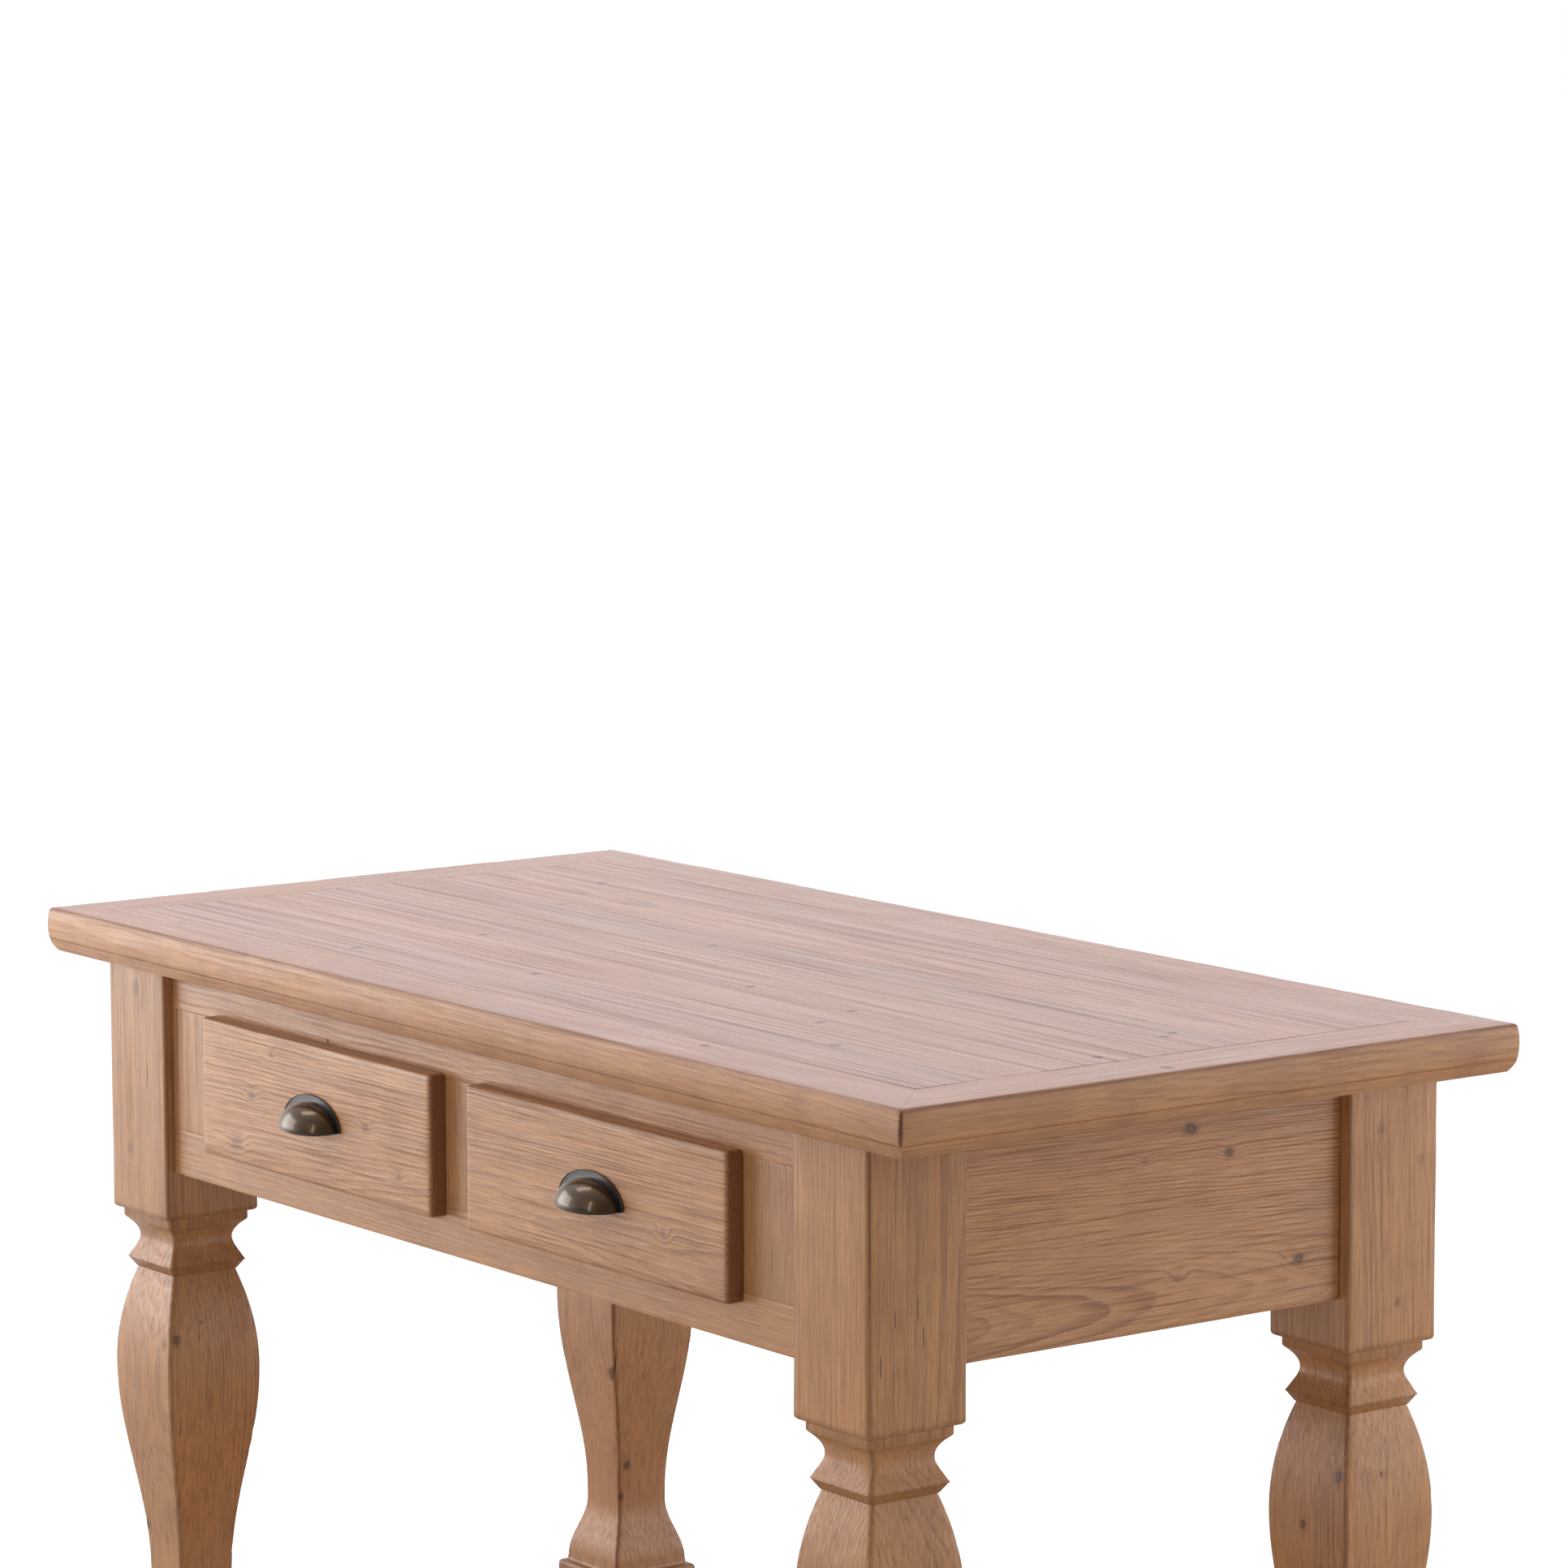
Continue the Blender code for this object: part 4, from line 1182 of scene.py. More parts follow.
@dataclass
class Border(Joinery):
    """A mitred border board of the worktop, moulded along its outer edge.

    swell and cove are points of the moulding, as shares of the way down its face and of its slope's run and
    rise. open_end is the end whose mitre has opened, -1 or 1.
    """

    width: float = 0.070
    arris: float = 0.003
    bulge: float = 0.00125
    slope: Pair = (0.0065, 0.0125)
    quirk: float = 0.0005
    corner: float = 0.0006
    open_corner: float = 0.0024
    mitre_depth: float = 0.003
    mitre_fade: float = 0.003
    open_end: int = 0
    swell: tuple[float, ...] = (0.06, 0.14, 0.26, 0.38, 0.50, 0.62, 0.74, 0.86, 0.93)
    cove: tuple[Pair, ...] = ((0.14, 0.78), (0.38, 0.52), (0.66, 0.27))

    def profile(self) -> Section:
        """Draw the moulded outline.

        Returns:
            The outline, as distance in from the outer edge and height above the underside.
        """
        low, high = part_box(self.node)
        tall = high.z - low.z
        points: list[Pair] = []
        edge: list[float] = []

        def arc(centre: Pair, radius: float, start: float, end: float, near: float) -> None:
            """Add an arc's points.

            Args:
                centre: the arc's centre.
                radius: its radius.
                start: its first angle, in degrees.
                end: its last angle.
                near: how near an arris it is.
            """
            for step in range(ARC_STEPS + 1):
                angle = math.radians(start + (end - start) * step / ARC_STEPS)
                points.append((centre[0] + radius * math.cos(angle), centre[1] + radius * math.sin(angle)))
                edge.append(near)

        def flat(end: Pair) -> None:
            """Add the points of a flat.

            Args:
                end: the point that comes next.
            """
            start = np.array(points[-1])
            length = float(np.linalg.norm(np.array(end) - start))
            for share in flat_shares(length, flat_count(length)):
                points.append(tuple(start + (np.array(end) - start) * share))
                edge.append(0.0)

        joined = Arris.JOINED.radius
        run, turn = self.slope
        face = tall - self.arris
        arc((self.width - joined, tall - joined), joined, 0, 90, 0.4)
        flat((self.bulge + self.arris, tall))
        arc((self.bulge + self.arris, face), self.arris, 90, 180, 1.0)
        for share in self.swell:
            points.append((self.bulge * (1 - 2 * share) ** 2, face + (turn - face) * share))
            edge.append(0.0)
        quirk, foot = self.quirk, self.bulge + run
        points += [(self.bulge, turn + quirk), (self.bulge + 1.6 * quirk, turn),
                   (self.bulge + 0.7 * quirk, turn - quirk)]
        points += [(self.bulge + across * run, up * turn) for across, up in self.cove]
        points += [(foot - 0.5 * quirk, 1.5 * quirk), (foot + 0.6 * quirk, 0.3 * quirk),
                   (foot + 2.5 * quirk, 0.0)]
        # the quirk's bottom counts as 0.65 near an arris: the wear deepens it, and the rubbed layer darkens
        # it as a painted shadow line in the groove
        edge += [0.2, 0.65, 0.2, 0.0, 0.0, 0.0, 0.1, 0.2, 0.0]
        flat((self.width - joined, 0.0))
        arc((self.width - joined, joined), joined, 270, 360, 0.3)
        flat((self.width, tall - joined))
        outline = np.array(points)
        ahead, behind = np.roll(outline, -1, axis=0), np.roll(outline, 1, axis=0)
        along = ahead - behind
        outward = np.stack([along[:, 1], -along[:, 0]], axis=1)
        outward /= np.linalg.norm(outward, axis=1)[:, None]
        return Section(outline, outward, np.array(edge))

    def build(self) -> bpy.types.Object:
        """Make the board's mesh.

        Returns:
            The dressed board.
        """
        low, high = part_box(self.node)
        along_low, across_low, bottom = self.timber.grain.pick(low)
        along_high, across_high, _ = self.timber.grain.pick(high)
        sign = -1.0 if self.node.endswith(("front", "left")) else 1.0
        outer = across_low if sign < 0 else across_high
        half = (along_high - along_low) / 2
        profile = self.profile()
        inward, height = profile.points[:, 0], profile.points[:, 1]
        above = np.clip((height - self.slope[1]) / self.mitre_fade, 0, 1)
        exposed = np.clip(2.0 - inward / self.mitre_depth, 0, 1) * above
        stock = Stock(self.timber.grain, self.timber.seed, Arris.WORN)
        for place, inset in stations(-half, half, self.open_corner):
            share = 1.0 if place * self.open_end > 0 else self.corner / self.open_corner
            drawn = profile.points - profile.outward * (inset * share * exposed)[:, None]
            section = Section(np.stack([outer - sign * drawn[:, 0], bottom + drawn[:, 1]], axis=1),
                              profile.outward * np.array([-sign, 1.0]), profile.edge)
            run = place * (half + TIGHTER - inward) / half
            near_end = half - abs(place)
            crossing = max(0.0, 1 - near_end / (self.open_corner + BAND))
            stock.add(run, section, crossing * share * exposed)
        if sign > 0:
            stock.rings.reverse()
            stock.wear.reverse()
        return stock.piece(f"{self.node}_dressed")


@dataclass
class Leg(Joinery):
    """A square baluster leg: head, fillet, cove, ring, vase, neck, flare and foot block.

    Pairs are the length of a part and the width at its end. tip is the rounding of its small edges.
    """

    width: float = 0.1075
    radius: float = 0.003
    ease: float = 0.004
    head_length: float = 0.2555
    fillet: Pair = (0.009, 0.0928)
    cove: Pair = (0.0195, 0.0694)
    ring: Pair = (0.0225, 0.0884)
    collar: Pair = (0.010, 0.0733)
    belly: Pair = (0.099, 0.1075)
    neck: Pair = (0.007, 0.0619)
    flare: Pair = (0.066, 0.0931)
    foot_fillet: float = 0.005
    foot_top: float = 0.145
    tip: float = 0.0011
    flare_steps: int = 18
    vase_steps: Pair = (40, 20)
    cove_steps: int = 12
    face_points: int = 8

    def curve(self, start: Pair, end: Pair, slopes: Pair, steps: int) -> list[Triple]:
        """A smooth curve between two places of the outline.

        Args:
            start: height and half width where it starts.
            end: height and half width where it ends.
            slopes: its slope at both ends.
            steps: how many points it has.

        Returns:
            Height, half width and closeness to an arris of each point after the first.
        """
        span = end[0] - start[0]
        points = []
        for step in range(1, steps + 1):
            t = step / steps
            half = ((2 * t**3 - 3 * t**2 + 1) * start[1] + (t**3 - 2 * t**2 + t) * span * slopes[0]
                    + (3 * t**2 - 2 * t**3) * end[1] + (t**3 - t**2) * span * slopes[1])
            points.append((start[0] + t * span, half, 0.0))
        return points

    def wave(self, start: Pair, end: Pair, steps: int) -> list[Triple]:
        """A half wave between two places of the outline.

        Args:
            start: height and half width where it starts.
            end: height and half width where it ends.
            steps: how many points it has.

        Returns:
            Its points, as curve gives them.
        """
        points = []
        for step in range(1, steps + 1):
            t = step / steps
            share = (1 - math.cos(math.pi * t)) / 2
            points.append((start[0] + t * (end[0] - start[0]), start[1] + share * (end[1] - start[1]), 0.0))
        return points

    def straight(self, start: float, end: float, half: float) -> list[Triple]:
        """A plain stretch of a block, with its rings spread along it."""
        steps = max(2, round((end - start) / RUN_STEP))
        return [(start + (end - start) * step / steps, half, 0.0) for step in range(steps + 1)]

    def rounding(self, height: float, half: float, upward: bool) -> list[Triple]:
        """A block's rounded edge.

        Args:
            height: height of the block's face.
            half: the block's half width.
            upward: whether the face looks up.

        Returns:
            Its points from the floor up, as curve gives them.
        """
        points = []
        for step in range(ARC_STEPS + 1):
            angle = math.radians(90 * step / ARC_STEPS)
            rise, inset = self.ease * (1 - math.sin(angle)), self.ease * (1 - math.cos(angle))
            points.append((height - rise if upward else height + rise, half - inset, 1.0))
        return points if upward else list(reversed(points))

    def outline(self) -> list[Triple]:
        """Draw the leg from the floor up.

        Returns:
            Height, half width and closeness to an arris that crosses the grain, for each ring.
        """
        low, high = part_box(self.node)
        half = self.width / 2
        flare = (self.foot_top + self.foot_fillet, self.flare[1] / 2)
        neck_low = (flare[0] + self.flare[0], self.neck[1] / 2)
        neck_high = (neck_low[0] + self.neck[0], self.neck[1] / 2)
        head = high.z + GAP - self.head_length
        fillet = (head - self.fillet[0], self.fillet[1] / 2)
        cove = (fillet[0] - self.cove[0], self.cove[1] / 2)
        ring = (cove[0] - self.ring[0], self.ring[1] / 2)
        collar = (ring[0] - self.collar[0], self.collar[1] / 2)
        belly = (collar[0] - self.belly[0], self.belly[1] / 2)
        steep = 2 * (collar[1] - belly[1]) / (collar[0] - belly[0])
        lean = (ring[1] - cove[1]) / self.ring[0]
        rise = 2 * (fillet[1] - cove[1]) / self.cove[0]
        tip = self.tip
        points = self.straight(low.z, self.foot_top - self.ease, half)
        points += self.rounding(self.foot_top, half, True)
        points += [(self.foot_top, flare[1] + tip, 0.3), (self.foot_top + tip, flare[1], 0.3),
                   (flare[0] - tip, flare[1], 0.6), (flare[0] + tip, flare[1] - tip / 2, 0.6)]
        points += self.wave((flare[0] + tip, flare[1] - tip / 2), neck_low, self.flare_steps)
        points.append((*neck_high, 0.0))
        points += self.wave(neck_high, belly, self.vase_steps[0])
        points += self.curve(belly, collar, (0.0, steep), self.vase_steps[1])
        points += [(collar[0] + tip / 2, collar[1] + tip, 0.2), (ring[0] - tip, ring[1] - tip, 0.9),
                   (*ring, 1.0)]
        points += self.curve((ring[0] + tip, ring[1] - tip * 0.8), cove, (-lean, 0.0), self.cove_steps)
        points += self.curve(cove, (fillet[0] - tip, fillet[1] - tip), (0.0, rise), self.cove_steps)
        points += [(fillet[0] + tip / 2, fillet[1], 0.8), (head - tip, fillet[1], 0.3),
                   (head, fillet[1] + tip, 0.3)]
        points += self.rounding(head, half, False)
        points += self.straight(head + self.ease + BAND, high.z, half)
        return points

    def build(self) -> bpy.types.Object:
        """Make the leg's mesh.

        Returns:
            The dressed leg.
        """
        x, y, _ = middle_of(self.node)
        stock = Stock(Grain.Z, self.timber.seed, Arris.WORN)
        radii, counts = (self.radius,) * 4, (self.face_points,) * 2
        for height, half, crossing in self.outline():
            section = rounded_rectangle((x - half, y - half), (x + half, y + half), radii, counts)
            stock.add(height, section, crossing)
        return stock.piece(f"{self.node}_dressed")


PINE_EARLY = (0.530, 0.256, 0.106)
PINE_LATE = (0.215, 0.070, 0.023)
PINE_STAIN = (0.165, 0.062, 0.026)
PINE_LIME = (0.63, 0.32, 0.150)

PINE = (PINE_EARLY, PINE_LATE, PINE_STAIN, PINE_LIME)
BOX_PINE = ((0.60, 0.42, 0.25), (0.42, 0.25, 0.12), (0.35, 0.22, 0.12), (0.68, 0.54, 0.38))
TOP_SHINE = (0.20, 0.32)
# tint of the worktop's upward faces: painted pinkish sheen and painted light from above
TOP_SHEEN_TINT = (1.08, 0.98, 1.06)

WORKTOP = PineFinish("worktop_pine", *PINE, stained=0.58, lined=0.70, coarse=1.7, run=0.45, even=0.75,
                     blotched=0.10, relief=0.0003, top_shine=TOP_SHINE, top_sheen_tint=TOP_SHEEN_TINT, pore_gloss=0.30)
EDGING = PineFinish("worktop_pine", (0.530, 0.252, 0.104), *PINE[1:], blotched=0.26, rubbed=0.5,
                    relief=0.0004, shine=(0.36, 0.52), top_shine=TOP_SHINE, top_sheen_tint=TOP_SHEEN_TINT)
FRAME = PineFinish("frame_pine", *PINE)
# the legs' arrises are rubbed darker than the frame's: wear, and painted shade that damps the lamps'
# highlight along them
TURNED = PineFinish("frame_pine", *PINE, end=(0.33, 0.138, 0.054), rubbed=0.40, gloss=0.42, pore_gloss=0.30)
BOX = PineFinish("drawer_box_pine", *BOX_PINE, end=(0.40, 0.25, 0.13), limed=0.25, stained=0.30, rubbed=0.1,
                 relief=0.0003)
BRASS = BrassFinish()
STEEL = PlainFinish("steel", (0.55, 0.55, 0.53), (0.40, 0.40, 0.39), (0.28, 0.45), 1.0, 1500.0)
GLIDE = PlainFinish("glide_plastic", (0.045, 0.042, 0.040), (0.075, 0.070, 0.066), (0.45, 0.62), 0.0, 1200.0)


class Tree(IntEnum):
    """Seed of the first tree for each kind of piece."""

    PLANK = 2
    BORDER = 12
    LEG = 21
    TOP_RAIL = 31
    BOTTOM_RAIL = 32
    BACK_APRON = 33
    RIGHT_APRON = 34
    LEFT_APRON = 35
    STILE = 36
    STRETCHER = 41
    BEARER = 45
    SHELF = 50
    LEFT_FRONT = 61
    RIGHT_FRONT = 62
    LEFT_BOX = 63
    RIGHT_BOX = 73
    RUNNER = 81
    KICKER = 85


@dataclass(frozen=True)
class Sawmill:
    """Saws boards at random, each from the tree of its own seed."""

    pith: tuple[Pair, Pair] = ((0.03, 0.16), (0.03, 0.10))
    lean: Pair = (0.03, 0.05)
    ring: Pair = (0.0030, 0.0044)
    tone: Pair = (0.95, 1.06)
    knot_counts: tuple[int, ...] = (0, 1, 1, 2)
    knot_span: Pair = (0.12, 0.88)
    knot_radius: Pair = (0.0025, 0.0060)

    def board(self, grain: Grain, seed: int, node: str, **given: Any) -> Timber:
        """Saw one board.

        Args:
            grain: which way it runs.
            seed: which board it is.
            node: the node that it stands for.
            given: what is settled already.

        Returns:
            The board's timber, with up to two knots.
        """
        draw = random.Random(int(seed))
        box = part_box(node)
        settled: dict[str, Any] = {
            "pith": tuple(draw.choice((-1, 1)) * draw.uniform(*span) for span in self.pith),
            "lean": tuple(draw.uniform(-span, span) for span in self.lean),
            "ring": draw.uniform(*self.ring),
            "tone": draw.uniform(*self.tone),
        }
        knots = []
        for _ in range(draw.choice(self.knot_counts)):
            place = [low + (high - low) * draw.uniform(*self.knot_span) for low, high in zip(*box)]
            face = draw.choice([axis for axis in range(3) if axis != grain.value[0]])
            place[face] = box[draw.choice((0, 1))][face]
            knots.append(Knot(tuple(place), draw.uniform(*self.knot_radius)))
        settled["knots"] = tuple(knots)
        settled.update(given)
        return Timber(grain, float(seed), **settled)


SAWMILL = Sawmill()


@dataclass
class Worktop:
    """Mitred border boards round a field of planks."""

    tongue: float = 0.010
    plank_rings: Pair = (0.0085, 0.0010)
    plank_tones: float = 0.07
    plank_ripple: float = 0.003
    plank_leans: Triple = (0.004, 0.01, 0.055)
    cathedral: int = 4
    piths: tuple[Pair, ...] = ((0.17, -0.06), (-0.13, -0.05), (0.12, -0.07), (-0.16, -0.05), (0.004, -0.048),
                               (0.15, -0.06))
    borders: tuple[tuple[str, Grain, Pair, float, int], ...] = (
        ("front", Grain.X, (-0.13, -0.05), 1.04, 1), ("back", Grain.X, (0.12, -0.06), 1.0, 0),
        ("left", Grain.Y, (0.06, -0.05), 1.0, 0), ("right", Grain.Y, (-0.13, -0.05), 1.05, -1),
    )
    border_ring: float = 0.0032
    border_figure: float = 0.46
    open_mitre: Nick = Nick((0.711, -0.351, 0.884), 0.0034, 0.030, 0.060)
    nick_size: Triple = (0.007, 0.012, 0.004)
    nick_step: float = 0.002
    nick_spots: tuple[Pair, ...] = (
        (-0.092, 0.037), (-0.056, -0.194), (-0.293, -0.245), (-0.287, -0.100), (0.326, -0.145),
        (0.429, -0.205), (0.128, -0.077), (0.294, -0.085), (0.617, -0.062), (0.561, 0.070),
        (0.572, 0.052), (-0.506, 0.193), (-0.407, 0.077), (0.362, -0.298), (0.692, -0.047),
    )

    def nicks_in(self, node: str) -> tuple[Nick, ...]:
        """Find the nicks that fall on one board's upper face.

        Args:
            node: the board's node.

        Returns:
            Its nicks.
        """
        low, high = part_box(node)
        length, width, depth = self.nick_size
        found = []
        for order, (x, y) in enumerate(self.nick_spots):
            if low.x < x < high.x and low.y < y < high.y:
                found.append(Nick((x, y, high.z), length + self.nick_step * (order % 3), width, depth))
        return tuple(found)

    def dress(self) -> None:
        """Dress every board of the worktop."""
        side, plain, steep = self.plank_leans
        wide, narrower = self.plank_rings
        near = self.tongue - TIGHTER
        for index, pith in enumerate(self.piths):
            node = f"worktop_plank_{index + 1}"
            far = near if index == len(self.piths) - 1 else -TIGHTER
            lean = (side, steep if index == self.cathedral else plain)
            timber = Timber(Grain.X, Tree.PLANK + index, pith, lean, wide - narrower * (index % 3),
                            1.0 + self.plank_tones * ((index * 2) % 3 - 1), ripple=self.plank_ripple,
                            nicks=self.nicks_in(node))
            Board(node, WORKTOP, timber, Arris.TIGHT, (near, near, 0.0), (near, far, 0.0)).dress()
        for order, (name, grain, pith, tone, open_end) in enumerate(self.borders):
            node = f"worktop_border_{name}"
            nicks = self.nicks_in(node) + ((self.open_mitre,) if open_end else ())
            timber = Timber(grain, Tree.BORDER + order, pith, ring=self.border_ring, tone=tone,
                            figure=self.border_figure, nicks=nicks)
            Border(node, EDGING, timber, open_end=open_end).dress()


@dataclass
class Legs:
    """Four square baluster legs on glides: each with its pith, tone, knots and checks."""

    lean: Pair = (0.02, 0.015)
    ring: float = 0.0052
    figure: float = 0.56
    legs: tuple[tuple[str, Pair, float, tuple[Knot, ...], tuple[Nick, ...]], ...] = (
        ("front_left", (0.03, 0.10), 0.92, (
            Knot((-0.5803, -0.3254, 0.831), 0.0055), Knot((-0.5954, -0.3254, 0.6653), 0.0045),
            Knot((-0.528, -0.3152, 0.4775), 0.0045, 0.85), Knot((-0.538, -0.3235, 0.4726), 0.0040),
            Knot((-0.608, -0.3051, 0.270), 0.0045, 0.85), Knot((-0.530, -0.2847, 0.4917), 0.0016, 0.85),
        ), (
            Nick((-0.560, -0.3254, 0.745), 0.024, 0.0010),
            Nick((-0.5282, -0.289, 0.479), 0.014, 0.004, 0.0012),
            Nick((-0.5288, -0.3117, 0.386), 0.020, 0.004, 0.0012),
        )),
        ("front_right", (-0.11, 0.09), 1.03, (Knot((0.5667, -0.306, 0.5637), 0.0030),), (
            Nick((0.633, -0.2961, 0.702), 0.016, 0.004, 0.0011),
            Nick((0.633, -0.3118, 0.663), 0.018, 0.004, 0.0014),
            Nick((0.633, -0.2657, 0.681), 0.022, 0.004, 0.0012),
            Nick((0.633, -0.2717, 0.709), 0.026, 0.004, 0.0010),
            Nick((0.633, -0.3229, 0.775), 0.170, 0.004, 0.0010),
        )),
        ("back_left", (-0.02, 0.035), 0.90, (
            Knot((-0.5467, 0.2500, 0.2605), 0.0040, 0.85), Knot((-0.5483, 0.2425, 0.2259), 0.0035, 0.85),
        ), (Nick((-0.533, 0.224, 0.345), 0.110, 0.022, 0.0022),)),
        ("back_right", (-0.09, -0.10), 1.07, (
            Knot((0.633, 0.2557, 0.8035), 0.0045, 0.30), Knot((0.633, 0.3048, 0.7698), 0.0040, 0.30),
            Knot((0.633, 0.2781, 0.6414), 0.0030), Knot((0.6188, 0.2214, 0.4845), 0.0045, 0.85),
            Knot((0.5744, 0.2180, 0.4322), 0.0035, 0.85), Knot((0.6297, 0.2447, 0.4832), 0.0060, 0.20),
            Knot((0.6297, 0.2632, 0.4834), 0.0018, 0.85),
        ), ()),
    )

    def dress(self) -> None:
        """Dress the legs and the glides under them."""
        for order, (place, pith, tone, knots, checks) in enumerate(self.legs):
            timber = Timber(Grain.Z, Tree.LEG + order, pith, self.lean, self.ring, tone, self.figure,
                            knots=knots, nicks=checks)
            Leg(f"leg_{place}", TURNED, timber).dress()
            refinish(f"glide_{place}", GLIDE)


@dataclass
class FaceFrame:
    """Rails, stiles and mullion round the drawers, and the aprons on the other three sides."""

    tenon: float = 0.032
    stub: float = 0.014
    rail_ring: float = 0.0036
    rail_figure: float = 0.55
    stile_ring: float = 0.0032
    stile_figure: float = 0.7
    nail: Nick = Nick((-0.2346, -0.315, 0.8225), 0.004, 0.004, 0.004)
    swirl: Knot = Knot((0.012, -0.315, 0.826), 0.008, 0.15)
    apron_knots: tuple[Knot, ...] = (
        Knot((0.621, 0.0866, 0.800), 0.0040, 0.80), Knot((0.621, 0.041, 0.826), 0.0055, 0.80),
        Knot((0.621, 0.169, 0.693), 0.0045, 0.85), Knot((0.621, 0.0275, 0.694), 0.0035, 0.30),
        Knot((0.621, -0.011, 0.803), 0.0025, 0.30),
    )

    def dress(self) -> None:
        """Dress every board."""
        ends_x, ends_y = (self.tenon, 0.0, 0.0), (0.0, self.tenon, 0.0)
        ends_z = (0.0, 0.0, self.stub - 2 * TIGHTER)
        rails = (
            ("front_top_rail", Timber(Grain.X, Tree.TOP_RAIL, (0.06, -0.06), (0.03, 0.02), self.rail_ring,
                                      1.02, self.rail_figure, knots=(self.swirl,), nicks=(self.nail,))),
            ("front_bottom_rail", Timber(Grain.X, Tree.BOTTOM_RAIL, (0.055, 0.070), (0.025, -0.03),
                                         self.rail_ring, 1.0, self.rail_figure)),
            ("back_apron", SAWMILL.board(Grain.X, Tree.BACK_APRON, "back_apron", pith=(-0.06, 0.03))),
        )
        for node, timber in rails:
            Board(node, FRAME, timber, Arris.JOINED, ends_x, ends_x).dress()
        right = Timber(Grain.Y, Tree.RIGHT_APRON, (-0.060, -0.075), (0.055, 0.01), 0.0029, 1.12, 1.15, 0.005,
                       self.apron_knots)
        left = SAWMILL.board(Grain.Y, Tree.LEFT_APRON, "end_apron_left", pith=(0.07, 0.04))
        for node, timber in (("end_apron_right", right), ("end_apron_left", left)):
            Board(node, FRAME, timber, Arris.CRISP, ends_y, ends_y).dress()
        for order, node in enumerate(("front_stile_left", "front_mullion", "front_stile_right")):
            pith = (0.10 - 0.2 * (order % 2), 0.05)
            timber = Timber(Grain.Z, Tree.STILE + order, pith, ring=self.stile_ring, tone=1.0 - 0.02 * order,
                            figure=self.stile_figure)
            Board(node, FRAME, timber, Arris.TIGHT, ends_z, ends_z).dress()


@dataclass
class Shelf:
    """Stretchers, a bearer and the shelf's planks."""

    tenon: float = 0.032
    stub: float = 0.014
    ease: float = 0.003
    plank_count: int = 5
    clearance: float = 0.002
    sides: tuple[tuple[str, Grain], ...] = (
        ("front", Grain.X), ("back", Grain.X), ("left", Grain.Y), ("right", Grain.Y),
    )

    def dress(self) -> None:
        """Dress every board of the shelf."""
        for order, (side, grain) in enumerate(self.sides):
            node = f"stretcher_{side}"
            ends = tuple(grain.restore(self.tenon, 0.0, 0.0))
            timber = SAWMILL.board(grain, Tree.STRETCHER + order, node)
            Board(node, FRAME, timber, Arris.CRISP, ends, ends).dress()
        node, ends = "shelf_bearer", (0.0, self.stub, 0.0)
        Board(node, FRAME, SAWMILL.board(Grain.Y, Tree.BEARER, node), Arris.CRISP, ends, ends).dress()
        leg_low, leg_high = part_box("leg_front_right")
        reach = leg_low.x - self.clearance
        inner = -leg_high.y - self.clearance
        radii = (Arris.CRISP.radius, Arris.CRISP.radius, self.ease, self.ease)
        for index in range(self.plank_count):
            node = f"shelf_plank_{index + 1}"
            outer = index in (0, self.plank_count - 1)
            notch = (reach, (-inner, inner)) if outer else None
            Board(node, FRAME, SAWMILL.board(Grain.X, Tree.SHELF + index, node), Arris.WORN, eased=radii,
                  end_rounding=self.ease, notch=notch).dress()


